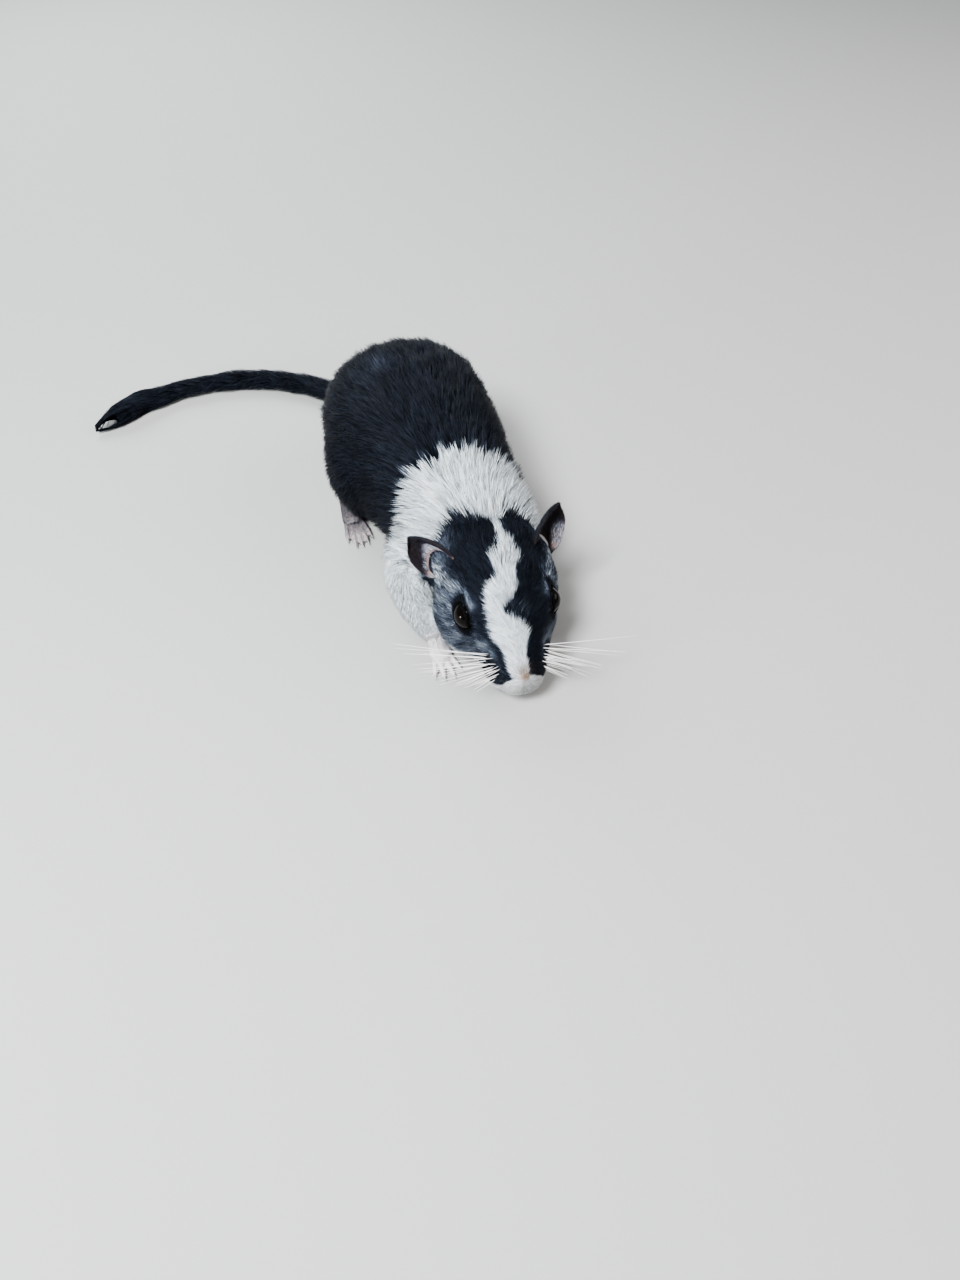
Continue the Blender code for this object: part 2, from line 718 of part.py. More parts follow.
def limb(name, stations, sides=14, count=9, flatness=1.0):
    smooth = through([(*place, radius) for place, radius in stations], count)
    return tube(name, smooth[:, :3], smooth[:, 3], sides, flatness)


def digit(root, heading, length, radius, arch):
    """One toe with its claw: an arched, tapered tube that comes down to the floor, then a short hook."""
    forward = Vector((math.sin(heading), -math.cos(heading), 0))

    def line(start, reach, height, stations, count):
        rows = []
        for along, up, share in stations:
            rows.append((*(start + forward * reach * along + Vector((0, 0, height * up))), radius * share))
        return through(rows, count)

    toe_line = line(root, length, arch, DIGIT_STATIONS, 5)
    toe_line[:, 2] = np.maximum(toe_line[:, 2], toe_line[:, 3] * SOLE_FLATNESS)
    toe = tube("toe", toe_line[:, :3], toe_line[:, 3], 6, round_ends=1)
    claw_line = line(Vector(toe_line[-1, :3]), radius * CLAW_LENGTH_TO_RADIUS, radius, CLAW_STATIONS, 4)
    claw = tube("claw", claw_line[:, :3], claw_line[:, 3], 4, round_ends=1)
    return [toe, claw]


def digits(middle, roots, spread, lengths, radius, arch, side):
    """Toes that fan out from an oval of roots round a paw's middle."""
    pieces = []
    for angle, length in zip(spread, lengths):
        root = middle + Vector((math.sin(side * angle) * roots[0], -math.cos(angle) * roots[1], 0))
        root.z = radius * ROOT_HEIGHT_TO_RADIUS
        pieces += digit(root, side * angle * DIGIT_TURN, length, radius, arch)
    return pieces


def forepaw(side):
    middle = Vector(PALMS[side])
    palm = ellipsoid("palm", middle, PALM_RADII, None, 7, 12)
    wrist_from = Vector(FORELEGS[side][-1][0])
    wrist_line = [wrist_from + WRIST_START, (wrist_from + middle) / 2, middle]
    wrist = tube("wrist", through(wrist_line, 4), [WRIST_RADIUS] * 4, 10, round_ends=2)
    fingers = digits(middle, FINGER_ROOTS, FINGER_SPREAD, FINGER_LENGTHS, FINGER_RADIUS, FINGER_ARCH, side)
    return above_floor(fused("forepaw", [palm, wrist, *fingers]))


def hindfoot(side):
    stations = [((HINDFOOT_MIDDLE + side * p[0], p[1], p[2]), radius) for p, radius in HINDFOOT]
    foot = limb("foot", stations, 12, 7, SOLE_FLATNESS)
    across, along = stations[-1][0][:2]
    ball = Vector((across, along + TOE_ROOTS_BEHIND, 0.0))
    toes = digits(ball, TOE_ROOTS, TOE_SPREAD, TOE_LENGTHS, TOE_RADIUS, TOE_ARCH, side)
    return above_floor(fused("hindfoot", [foot, *toes]))


def tail_rows():
    return through([(*p, r) for p, r in zip(TAIL_LINE, TAIL_RADII)], TAIL_RINGS)


def tail_length(name, rows, first, last, round_ends=3):
    """One length of the tail, between two shares of its line."""
    low = int(round(first * (len(rows) - 1)))
    high = int(round(last * (len(rows) - 1)))
    part = rows[low : high + 1]
    return tube(name, part[:, :3], part[:, 3], TAIL_SIDES, round_ends=round_ends)


def slab_across(rows, share, thickness):
    """A thin plate square to the tail at a share of its length."""
    k = int(round(share * (len(rows) - 1)))
    ahead = Vector(rows[k + 1, :3] - rows[k - 1, :3]).normalized()
    turn = ahead.to_track_quat("Y", "Z").to_matrix().to_4x4()
    turn.translation = Vector(rows[k, :3])
    corner = Vector((SLAB_REACH, thickness / 2, SLAB_REACH))
    return box("slab", -corner, corner, turn)


def brush_rows(rows):
    """Places and radii along the brush, from inside the tail's cut to the tips of the long hairs."""
    start = int(round(TAIL_CUTS[1] * (len(rows) - 1)))
    ahead = [tuple(r) for r in rows[start - 2 :: 4]]
    end = Vector(rows[-1, :3])
    ahead[-1] = (*end, BRUSH_RADIUS)
    ahead.append((*end.lerp(BRUSH_TIP, BRUSH_NARROWS_AT), BRUSH_RADIUS * BRUSH_NARROWED))
    ahead.append((*BRUSH_TIP, BRUSH_RADIUS * BRUSH_POINT))
    smooth = through(ahead, BRUSH_RINGS)
    smooth[:, 2] = np.maximum(smooth[:, 2], smooth[:, 3] * BRUSH_REST)
    return smooth


def lock(line, shares, root, span, turn, fullness):
    """One flat lock: it leaves the core, bends out over its neighbours and draws in to a point."""
    ahead, across, up = frames_along(line[:, :3])

    def read(rows, share):
        return np.array([np.interp(share, shares, column) for column in rows.T])

    def place(along, height):
        share = root + span * along
        outward = read(across, share) * math.cos(turn) + read(up, share) * math.sin(turn)
        middle = read(line, share)
        centre = middle[:3] + outward * middle[3] * height * fullness
        centre[2] = max(centre[2], LOCK_LOWEST)
        return centre, outward, np.cross(read(ahead, share), outward)

    rings = []
    for along, height, width in LOCK_STATIONS:
        centre, outward, sideways = place(along, height)
        half = sideways * LOCK_HALF_WIDTH * width
        thick = outward * LOCK_HALF_THICKNESS * (1 + width) / 2
        rings.append([centre + half, centre + thick, centre - half, centre - thick])
    return loft("lock", rings, place(*LOCK_ROOT)[0], place(*LOCK_TIP)[0])


def brush(rows):
    """The tail's end: a slim core, and the locks fused to it."""
    line = brush_rows(rows)
    steps = np.linalg.norm(np.diff(line[:, :3], axis=0), axis=1)
    shares = np.concatenate([[0.0], np.cumsum(steps)]) / steps.sum()
    kept = shares <= BRUSH_CORE_END
    core_radii = line[:, 3] * np.interp(shares, *zip(*BRUSH_CORE))
    core = tube("brush", line[kept, :3], core_radii[kept], TAIL_SIDES)
    draw = np.random.default_rng(LOCK_SEED)
    locks = []
    for n, root in enumerate(np.linspace(*LOCK_ROOTS, LOCKS)):
        span = min(draw.uniform(*LOCK_LENGTHS) / steps.sum(), 1 - root)
        turn = n * TURN_BETWEEN_LOCKS + draw.uniform(-LOCK_STRAY, LOCK_STRAY)
        locks.append(lock(line, shares, root, span, turn, draw.uniform(*LOCK_FULLNESS)))
    return fused("brush", [core, *locks])


def half_space(name, place, towards):
    """A large block whose face passes through a place, on the side that a direction points to."""
    turn = Vector(towards).normalized().to_track_quat("Y", "Z").to_matrix().to_4x4()
    turn.translation = Vector(place)
    return box(name, (-BLOCK_REACH, 0.0, -BLOCK_REACH), (BLOCK_REACH, 2 * BLOCK_REACH, BLOCK_REACH), turn)


def thigh_region(side, wider):
    """An oval plug that goes into the flank from the side, with a rounded inner edge."""
    (across, along, up), (half_length, half_height) = THIGH_CUT
    inner = HAUNCH_MIDDLE + side * (across - wider)
    rings = []
    for outward, size in THIGH_PLUG:
        long_radius, high_radius = half_length * size + wider, half_height * size + wider
        rings.append([
            (inner + side * outward, along + long_radius * math.cos(a), up + high_radius * math.sin(a))
            for a in np.arange(THIGH_SIDES) * 2 * math.pi / THIGH_SIDES
        ])
    return loft("thigh_region", rings, (inner, along, up), (inner + side * THIGH_REACH, along, up))


def parted(body, region_in, region_grown):
    """The part of the body inside a region, and what is left of the body clear of it."""
    inside = kept_inside(copy_of(body, "inside"), region_in)
    cut(body, region_grown)
    return largest_only(inside), largest_only(body)


def build():
    clear_scene()
    black_fur = material("black_fur", COAT_BLACK, 0.75)
    white_fur = material("white_fur", COAT_WHITE, 0.80)
    pink_skin = material("pink_skin", SKIN_PINK, 0.60)
    eye_gloss = material("eye_gloss", EYE_BLACK, 0.08)

    frame = head_axes()
    back = frame.to_3x3() @ Vector((0, 1, 0))
    body = thinned(body_form(frame), BODY_TRIANGLES)
    body_and_gap = grown(body, GAP)
    above_floor(body)

    thighs = {}
    for side in (LEFT, RIGHT):
        thighs[side], body = parted(body, thigh_region(side, 0.0), thigh_region(side, GAP))

    neck_front = on_head(frame, (0, NECK_FRONT_BACK_FROM_NOSE, 0))
    rear_way = Vector((0, math.cos(NECK_REAR_LEAN), math.sin(NECK_REAR_LEAN)))
    neck_rear = Vector(NECK_REAR)
    head = cut(copy_of(body, "head"), half_space("behind", neck_front, back))
    neck = cut(copy_of(body, "neck"), half_space("ahead", neck_front + back * GAP, -back))
    cut(neck, half_space("behind", neck_rear, rear_way))
    torso = cut(copy_of(body, "torso"), half_space("ahead", neck_rear + rear_way * GAP, -rear_way))
    drop(body)

    head = head_node(frame, largest_only(head))
    largest_only(neck)
    largest_only(torso)
    finish(head, "head", black_fur)
    finish(neck, "neck", white_fur)
    finish(torso, "torso", black_fur)
    for side, word in ((LEFT, "left"), (RIGHT, "right")):
        finish(thighs[side], "thigh_" + word, black_fur)
        finish(eyeball(frame, side), "eye_" + word, eye_gloss)

        cup = cut(ear(frame, side), copy_of(body_and_gap, "clear"))
        finish(largest_only(cup), "ear_" + word, black_fur)

        foreleg = limb("foreleg", FORELEGS[side])
        largest_only(cut(foreleg, copy_of(body_and_gap, "clear")))
        paw = forepaw(side)
        wrist = Vector(FORELEGS[side][-1][0])
        cut(foreleg, half_space("past_wrist", wrist, WRIST_WAY))
        cut(paw, half_space("above_wrist", wrist + WRIST_WAY * GAP, -WRIST_WAY))
        finish(largest_only(foreleg), "foreleg_" + word, white_fur)
        finish(largest_only(paw), "forepaw_" + word, pink_skin)

        foot = cut(hindfoot(side), copy_of(body_and_gap, "clear"))
        finish(largest_only(foot), "hindfoot_" + word, pink_skin)

    rows = tail_rows()
    tail_start = tail_length("tail_base", rows, 0.0, TAIL_CUTS[0] + TAIL_OVERLAP)
    cut(tail_start, slab_across(rows, TAIL_CUTS[0], GAP), body_and_gap)
    tail_middle = tail_length("tail_middle", rows, TAIL_CUTS[0] - TAIL_OVERLAP, TAIL_CUTS[1] + TAIL_OVERLAP)
    cut(tail_middle, slab_across(rows, TAIL_CUTS[0], GAP), slab_across(rows, TAIL_CUTS[1], GAP))
    tail_end = cut(brush(rows), slab_across(rows, TAIL_CUTS[1], GAP))
    for piece, name in ((tail_start, "tail_base"), (tail_middle, "tail_middle"), (tail_end, "tail_brush")):
        finish(largest_only(above_floor(piece)), name, black_fur)


build()
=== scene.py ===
# %% [markdown]
# # A crouching pied gerbil in its coat
# The solids already give the animal's pose, outline and size. This lesson dresses them: a skin
# that lies inside the outline, a coat of tufts that fills the space between, and the parts that
# fur doesn't cover, such as the eyes, nose, ears, toes and whiskers.

import math

import bmesh
import bpy
import numpy as np
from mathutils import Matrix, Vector
from mathutils.bvhtree import BVHTree
from mathutils.kdtree import KDTree


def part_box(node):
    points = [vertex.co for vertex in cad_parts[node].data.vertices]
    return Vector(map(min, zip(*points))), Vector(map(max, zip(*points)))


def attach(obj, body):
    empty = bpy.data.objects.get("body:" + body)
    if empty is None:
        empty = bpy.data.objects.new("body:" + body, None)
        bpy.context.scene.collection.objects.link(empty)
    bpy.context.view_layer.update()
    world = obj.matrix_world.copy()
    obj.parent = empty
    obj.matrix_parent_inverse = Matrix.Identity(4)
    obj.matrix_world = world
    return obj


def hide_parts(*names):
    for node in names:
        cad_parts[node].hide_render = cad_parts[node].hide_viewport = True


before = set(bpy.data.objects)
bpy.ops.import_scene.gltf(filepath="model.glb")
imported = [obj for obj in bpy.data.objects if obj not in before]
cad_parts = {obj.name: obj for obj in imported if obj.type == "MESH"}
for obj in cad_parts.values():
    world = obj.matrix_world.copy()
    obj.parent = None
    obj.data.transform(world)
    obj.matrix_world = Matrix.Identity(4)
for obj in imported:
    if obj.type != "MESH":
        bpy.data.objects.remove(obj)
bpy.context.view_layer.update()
MM = 0.001

# %% [markdown]
# ## The camera
# The animal is seen from in front and well above, a hand's breadth or two away. A short lens at
# that distance makes the head look large against the rump, so the distance matters as much as
# the angle. The place is given in metres and the lens against a sensor of 36 mm.

# %% Camera


def in_scene(name, data):
    """A new object that shows the data."""
    made = bpy.data.objects.new(name, data)
    bpy.context.scene.collection.objects.link(made)
    return made


camera = in_scene("camera", bpy.data.cameras.new("camera"))
camera.location = (-0.0555, -0.1873, 0.190)
camera.rotation_mode = "QUATERNION"
camera.rotation_quaternion = Vector((0.2124, 0.6067, -0.7660)).to_track_quat("-Z", "Y")
camera.data.sensor_width = 36
camera.data.lens = 27.03
camera.data.clip_start = 0.005
bpy.context.scene.camera = camera
print("camera is", round(camera.location.length / MM), "mm from the middle of the animal")

# %% [markdown]
# ## Light and floor
# Fur shows its form by soft light from above with one clear side. A broad cool panel stands over
# the head, a weaker one fills the far flank, and a third behind the rump draws the edge of the
# black back, which would otherwise sink into one dark patch. A small low panel puts the spark in
# the eye. The floor is a pale matt sheet. The picture's contrast is raised a little, so that
# black fur stays black and white fur stays white.

# %% Lights
AIM = (0, -0.01, 0.02)


def soft_panel(name, place, size, watts, colour):
    """A square light that faces the animal."""
    data = bpy.data.lights.new(name, "AREA")
    data.size, data.energy, data.color = size, watts, colour
    panel = in_scene(name, data)
    panel.location = place
    panel.rotation_mode = "QUATERNION"
    panel.rotation_quaternion = (Vector(AIM) - Vector(place)).to_track_quat("-Z", "Y")


soft_panel("window_light", (-0.28, -0.22, 0.50), 0.17, 8.6, (0.92, 0.97, 1.0))
soft_panel("fill_light", (0.45, -0.10, 0.35), 0.40, 1.9, (1.0, 0.98, 0.95))
soft_panel("back_light", (-0.10, 0.50, 0.35), 0.35, 3.6, (0.90, 0.95, 1.0))
soft_panel("catch_light", (-0.396, -0.128, 0.084), 0.08, 1.1, (0.95, 0.98, 1.0))
room = bpy.data.worlds.new("room")
bpy.context.scene.world = room
room.use_nodes = True
sky = room.node_tree.nodes["Background"].inputs
sky["Color"].default_value = (0.80, 0.84, 0.90, 1)
sky["Strength"].default_value = 0.34
bpy.context.scene.view_settings.look = "AgX - Medium High Contrast"
print("four panels and a pale room")

# %% [markdown]
# ## Finishes
# Each finish starts from one Principled shader. A number that is the same all over is set on the
# shader itself. What varies over the surface comes either from a colour stored on the mesh, which
# carries the coat's markings together with painted shade and sheen, or from a noise that is fine
# enough for skin.

# %% A helper for finishes


def finish(name, colour, roughness, **more):
    """A material with one Principled shader, and the shader itself."""
    material = bpy.data.materials.new(name)
    material.use_nodes = True
    shader = material.node_tree.nodes["Principled BSDF"]
    shader.inputs["Base Color"].default_value = (*colour, 1)
    shader.inputs["Roughness"].default_value = roughness
    for socket, value in more.items():
        shader.inputs[socket.replace("_", " ")].default_value = value
    return material, shader


def add_node(material, kind, **values):
    """A node with its named inputs set."""
    made = material.node_tree.nodes.new(kind)
    for name, value in values.items():
        made.inputs[name].default_value = value
    return made


def place_of(material):
    return add_node(material, "ShaderNodeTexCoord").outputs["Object"]


def add_bump(material, shader, scale, strength, depth, stretch=None):
    """Fine relief from a noise, drawn out along the body where stretch says so."""
    tree = material.node_tree
    noise = add_node(material, "ShaderNodeTexNoise", Scale=scale, Detail=4.0)
    spot = place_of(material)
    if stretch:
        mapping = add_node(material, "ShaderNodeMapping", Scale=stretch)
        tree.links.new(spot, mapping.inputs["Vector"])
        spot = mapping.outputs["Vector"]
    tree.links.new(spot, noise.inputs["Vector"])
    bump = add_node(material, "ShaderNodeBump", Strength=strength, Distance=depth)
    tree.links.new(noise.outputs["Fac"], bump.inputs["Height"])
    tree.links.new(bump.outputs["Normal"], shader.inputs["Normal"])


def tint_from_mesh(material, shader, layer, scale=None, low=0.75):
    """The colour comes from the mesh, and is broken up by a noise where a scale is given."""
    tree = material.node_tree
    stored = tree.nodes.new("ShaderNodeAttribute")
    stored.attribute_name = layer
    source = stored.outputs["Color"]
    if scale:
        noise = add_node(material, "ShaderNodeTexNoise", Scale=scale, Detail=3.0)
        tree.links.new(place_of(material), noise.inputs["Vector"])
        span = add_node(material, "ShaderNodeMapRange")
        span.inputs["To Min"].default_value = low
        span.inputs["To Max"].default_value = 2 - low
        tree.links.new(noise.outputs["Fac"], span.inputs["Value"])
        mix = add_node(material, "ShaderNodeVectorMath")
        mix.operation = "MULTIPLY"
        tree.links.new(source, mix.inputs[0])
        tree.links.new(span.outputs["Result"], mix.inputs[1])
        source = mix.outputs["Vector"]
    tree.links.new(source, shader.inputs["Base Color"])


def mottled(material, shader, scale, dark, light):
    """The colour wanders between two others with a noise."""
    tree = material.node_tree
    noise = add_node(material, "ShaderNodeTexNoise", Scale=scale)
    tones = add_node(material, "ShaderNodeValToRGB")
    tones.color_ramp.elements[0].color = (*dark, 1)
    tones.color_ramp.elements[1].color = (*light, 1)
    tree.links.new(place_of(material), noise.inputs["Vector"])
    tree.links.new(noise.outputs["Fac"], tones.inputs["Fac"])
    tree.links.new(tones.outputs["Color"], shader.inputs["Base Color"])


# %% Floor
floor_mesh = bpy.data.meshes.new("floor")
floor_mesh.from_pydata([(-3, -3, 0), (3, -3, 0), (3, 3, 0), (-3, 3, 0)], [], [(0, 1, 2, 3)])
floor = in_scene("floor", floor_mesh)
floor_finish, floor_shader = finish("pale_matt_sheet", (0.385, 0.376, 0.362), 0.85)
add_bump(floor_finish, floor_shader, 900, 0.05, 0.0002)
floor_mesh.materials.append(floor_finish)
print("floor laid")

# %% [markdown]
# ## A ruler on the head
# The head is tilted down and turned a little, so its details are easier to place along its own
# axes: across towards the animal's left, back from the nose, and up from the line of the snout.
# All three are in millimetres.

# %% Head axes
NOSE = np.array((0.0, -0.0600, 0.0115))
PITCH, TURN = math.radians(15), math.radians(5.5)
ACROSS = np.array((math.cos(TURN), -math.sin(TURN), 0.0))
BACK = np.array((math.sin(TURN) * math.cos(PITCH), math.cos(TURN) * math.cos(PITCH), math.sin(PITCH)))
UP = np.cross(ACROSS, BACK)
HEAD = np.stack((ACROSS, BACK, UP))
SIDES = {"left": 1, "right": -1}


def read_head(points):
    """Points in head millimetres: across, back and up, one row each."""
    return ((np.asarray(points) - NOSE) @ HEAD.T / MM).T


def at_head(across, back, up):
    return NOSE + MM * np.array((across, back, up)) @ HEAD


def middle(node):
    low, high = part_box(node)
    return np.array((low + high) / 2)


EYES = {side: middle("eye_" + side) for side in SIDES}
low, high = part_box("eye_right")
EYE_RADIUS = (high - low)[0] / 2
EAR_ROOTS = {side: at_head(sign * 12.2, 29.2, 2.6) for side, sign in SIDES.items()}
print("eye radius in mm:", round(EYE_RADIUS / MM, 2))

# %% [markdown]
# ## Reading a mesh as arrays
# A coat has a hundred thousand tufts. Placing them one by one in Python would take minutes, so
# the meshes are read into arrays and every step is done for all points at once.

# %% Arrays from a mesh


def numbers(items, name, width, kind=np.float64):
    out = np.empty(len(items) * width, kind)
    items.foreach_get(name, out)
    return out.reshape(-1, width) if width > 1 else out


def unit(vectors):
    return vectors / np.maximum(np.linalg.norm(vectors, axis=-1, keepdims=True), 1e-12)


def flattened(vectors, normals):
    """The vectors laid into the surface."""
    return unit(vectors - normals * (vectors * normals).sum(-1, keepdims=True))


def ramp(value, low, high):
    """0 below low, 1 above high, and smooth between."""
    t = np.clip((value - low) / (high - low), 0, 1)
    return t * t * (3 - 2 * t)


def reach(points, centre):
    """How far points are from a centre, in millimetres."""
    return np.linalg.norm(points - centre, axis=-1) / MM


def ripple(points, wavelength, seed):
    """A smooth random value from about -1 to 1, the same for the same place."""
    rng = np.random.default_rng(seed)
    total = np.zeros(len(points))
    for _ in range(6):
        way = unit(rng.normal(size=3)) * 2 * math.pi / (wavelength * rng.uniform(0.7, 1.5))
        total += np.sin(points @ way + rng.uniform(0, 2 * math.pi))
    return total / 2.4


def evened(values, edges, rounds):
    """Values on the vertices, averaged with their neighbours."""
    count = np.bincount(edges.ravel(), minlength=len(values)).astype(float)
    for _ in range(rounds):
        total = np.zeros_like(values)
        np.add.at(total, edges[:, 0], values[edges[:, 1]])
        np.add.at(total, edges[:, 1], values[edges[:, 0]])
        share = (count if values.ndim == 1 else count[:, None])
        values = (values + total / share) / 2
    return values


# %% [markdown]
# ## The skin
# Under the fur a gerbil is one smooth bag of skin, with no seams at the neck or hips. The solids
# are cut apart there, so their copies are swollen a hair's breadth, remeshed as one and smoothed.
# The eye, ear and toe nodes stay out, because they get finer meshes of their own.

# %% Join the flesh
FLESH = ("head", "neck", "torso", "thigh_left", "thigh_right", "foreleg_left", "foreleg_right",
         "tail_base", "tail_middle", "tail_brush")


def swollen(node, by):
    """A copy of a node's mesh with its corners joined, pushed out along its normals."""
    copy = in_scene("copy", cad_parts[node].data.copy())
    copy.modifiers.new("weld", "WELD").merge_threshold = 1e-6
    push = copy.modifiers.new("push", "DISPLACE")
    push.mid_level, push.strength = 0, by
    return copy


def gathered(meshes):
    """The corners and the faces of several meshes, in one list each."""
    points, faces = [], []
    for mesh in meshes:
        base = len(points)
        points += [tuple(v.co) for v in mesh.vertices]
        faces += [[base + v for v in p.vertices] for p in mesh.polygons]
    return points, faces


def one_skin(name, nodes, by, voxel, rounds):
    """The nodes grown together into one even, smooth mesh."""
    graph = bpy.context.evaluated_depsgraph_get
    copies = [swollen(node, by) for node in nodes]
    points, faces = gathered(copy.evaluated_get(graph()).data for copy in copies)
    together = bpy.data.meshes.new(name)
    together.from_pydata(points, [], faces)
    made = in_scene(name, together)
    remesh = made.modifiers.new("remesh", "REMESH")
    remesh.mode, remesh.voxel_size = "VOXEL", voxel
    smooth = made.modifiers.new("smooth", "SMOOTH")
    smooth.factor, smooth.iterations = 0.5, rounds
    done = bpy.data.meshes.new_from_object(made.evaluated_get(graph()))
    made.modifiers.clear()
    made.data = done
    for copy in copies:
        bpy.data.objects.remove(copy)
    print(name, "has", len(done.polygons), "faces")
    return made


skin = one_skin("skin", FLESH, 0.0002, 0.00052, 7)

# %% [markdown]
# ## Which part is it?
# The coat is long on the back and short on the snout. To tell the parts apart, each point of the
# skin asks which solid is nearest.

# %% Name the parts
PARTS = {node: node.split("_")[0] for node in FLESH}
KINDS = sorted(set(PARTS.values()))


def nearest_kind(points):
    """For each point, the place in KINDS of the nearest solid's kind."""
    meshes = [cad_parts[node].data for node in FLESH]
    kinds = [KINDS.index(PARTS[node]) for node, mesh in zip(FLESH, meshes) for _ in mesh.polygons]
    near = BVHTree.FromPolygons(*gathered(meshes)).find_nearest
    return np.array([kinds[near(p)[2]] for p in points.tolist()])


skin_points = numbers(skin.data.vertices, "co", 3)
skin_kinds = nearest_kind(skin_points)
print({kind: int((skin_kinds == n).sum()) for n, kind in enumerate(KINDS)})

# %% [markdown]
# ## The tail's line
# The tail lies on the floor in a loose curve. Places along its middle, in millimetres, tell which
# way its hair runs and how far along the tail each point of its skin is.

# %% The tail's line
TAIL_LINE = np.array(((-2.0, 46.0, 11.0), (-4.2, 55.0, 7.2), (-9.2, 67.0, 3.8), (-18.0, 79.2, 3.2),
                      (-30.8, 88.4, 3.0), (-46.0, 93.2, 2.9), (-62.0, 93.0, 2.8), (-77.0, 88.4, 2.8),
                      (-88.8, 82.2, 2.2))) * MM
TAIL_STEPS = 120


def fine_line(points, count):
    """Evenly spaced points along a bent line."""
    steps = np.linalg.norm(np.diff(points, axis=0), axis=1)
    done = np.concatenate(([0], np.cumsum(steps)))
    return np.stack([np.interp(np.linspace(0, done[-1], count), done, row) for row in points.T], -1)


def along_tail(points, kinds):
    """For points on the tail, its own direction and how far along it they are; 0 elsewhere."""
    line = fine_line(TAIL_LINE, TAIL_STEPS)
    here = kinds == KINDS.index("tail")
    near = np.argmin(np.linalg.norm(points[here][:, None] - line[None], axis=2), axis=1)
    ways, shares = np.zeros_like(points), np.zeros(len(points))
    ways[here] = unit(np.gradient(line, axis=0))[near]
    shares[here] = near / (TAIL_STEPS - 1)
    return ways, shares


# %% [markdown]
# ## How deep the coat is
# The solids reach to the tips of the fur, so the skin has to sink below them by the coat's depth:
# three millimetres on the back and more in the fluffed collar, a third of that on the brow, and next
# to nothing round the eye, on the nose and where an ear or foot leaves the body.

# %% Depth of the coat
TAIL_DEPTH = ((0, 0.55, 0.75, 0.9, 1), (1.6, 1.3, 0.8, 0.55, 0.4))


def chosen(kinds, **values):
    """One value per point by its kind, which may itself be an array."""
    out = np.zeros(len(kinds))
    for kind, value in values.items():
        here = kinds == KINDS.index(kind)
        out[here] = value[here] if isinstance(value, np.ndarray) else value
    return out


ANKLES = {side: middle("hindfoot_" + side) for side in SIDES}


def to_nearest(points, centres):
    """How far points are from the nearer of two centres, in millimetres."""
    return np.minimum(*(reach(points, centre) for centre in centres.values()))


def nearness(points):
    """Three values from 0 to 1 that fall towards the eyes, the ears and the ankles."""
    return (ramp(to_nearest(points, EYES), 3.9, 7.0), ramp(to_nearest(points, EAR_ROOTS), 4.0, 8.0),
            ramp(to_nearest(points, ANKLES), 7.0, 16.0))


def coat_depth(points, kinds):
    """How far the skin lies under the outline, in millimetres."""
    across, back, up = read_head(points)
    along = points[:, 1] / MM
    head = np.interp(back, [0, 3, 8, 14, 22, 30, 40], [0.36, 0.48, 0.62, 0.84, 1.10, 1.5, 2.2])
    leg = np.interp(along, [-35, -30, -20, -12], [0.35, 0.5, 1.1, 2.0])
    ruff = 2.9 + 0.7 * ramp(-4 - along, 0, 5)
    tail = np.interp(along_tail(points, kinds)[1], *TAIL_DEPTH)
    depth = chosen(kinds, head=head, neck=3.5, torso=ruff, thigh=2.3, foreleg=leg, tail=tail)
    eye, ear, ankle = nearness(points)
    depth *= 0.08 + 0.92 * eye
    depth *= 0.15 + 0.85 * ear
    return depth * np.where(kinds == KINDS.index("thigh"), 0.45 + 0.55 * ankle, 1)


def move_points(made, points):
    """Gives the points of an object's mesh new places."""
    made.data.vertices.foreach_set("co", points.ravel())
    made.data.update()
    made.data.shade_smooth()


edges = numbers(skin.data.edges, "vertices", 2, np.int32)
normals = numbers(skin.data.vertex_normals, "vector", 3)
depths = evened(coat_depth(skin_points, skin_kinds), edges, 24)
skin_points = skin_points - normals * (depths * MM)[:, None]
skin_points = evened(skin_points, edges, 2)
move_points(skin, skin_points)
print("coat depth in mm from", round(depths.min(), 2), "to", round(depths.max(), 2))

# %% [markdown]
# ## The markings
# A black pied coat: white from the chest up over the neck as a broad collar, a black cap and
# mask, a white blaze from the collar to the nose, grey cheeks where black and pale hairs mix,
# and a black body. The edges of each patch are drawn as lines on the head's ruler. Each tuft
# asks for the tone at its own place, so skin, tufts and every view agree.

# %% Edges of the patches
# For the blaze, how far back each point of an edge lies, and how far across
BLAZE_EDGE = {
    "right": ((-2, 0.8, 3.2, 5.9, 8.8, 11.7, 14.5, 18.3, 20.5, 21.4, 23, 25.4, 27.6, 28.8, 29.5, 31, 35, 40),
              (-1.8, -3.1, -3.4, -4.1, -5.1, -5.8, -5.6, -5.2, -4.4, -2.6, -2.0, -2.5, -2.4, -1.2, 0.2, 0.8,
               0.8, 0.3)),
    "left": ((-2, 1, 4.8, 7, 8.6, 10.2, 11.4, 12.4, 13.2, 14.2, 15.2, 16.6, 18.3, 20.5, 22.8, 23.6, 25.6,
              27.2, 28.2, 30.6, 33.8, 36.3, 40),
             (1.0, 1.2, 1.5, 2.4, 2.8, 2.3, 0.9, -0.8, -1.9, -2.3, -1.2, 0.2, 1.8, 2.8, 3.3, 2.8, 4.0,
              5.1, 4.2, 3.5, 2.8, 2.6, 3.6)),
}
CAP_REAR = ((-17, -15.3, -13, -10.7, -7.4, -4.9, -2.5, -0.8, 2.5, 4, 6, 9, 12, 15, 17),
            (39.0, 40.4, 41.1, 41.4, 42.0, 41.2, 39.9, 37.6, 38.0, 40.6, 41.8, 42.0, 41.5, 40.5, 39.0))
# The dark cheek ends behind, by height, in front of the white throat
CHEEK_REAR = ((-12, -9, -4, 0, 3, 6, 9), (33.0, 35.5, 35.0, 34.5, 36.0, 40.0, 50.0))
# It ends sideways, by height, where the white of the shoulder and foreleg starts
CHEEK_SIDE = ((-13, -9.6, -4, 0, 4), (15.0, 16.2, 17.2, 18.5, 40.0))
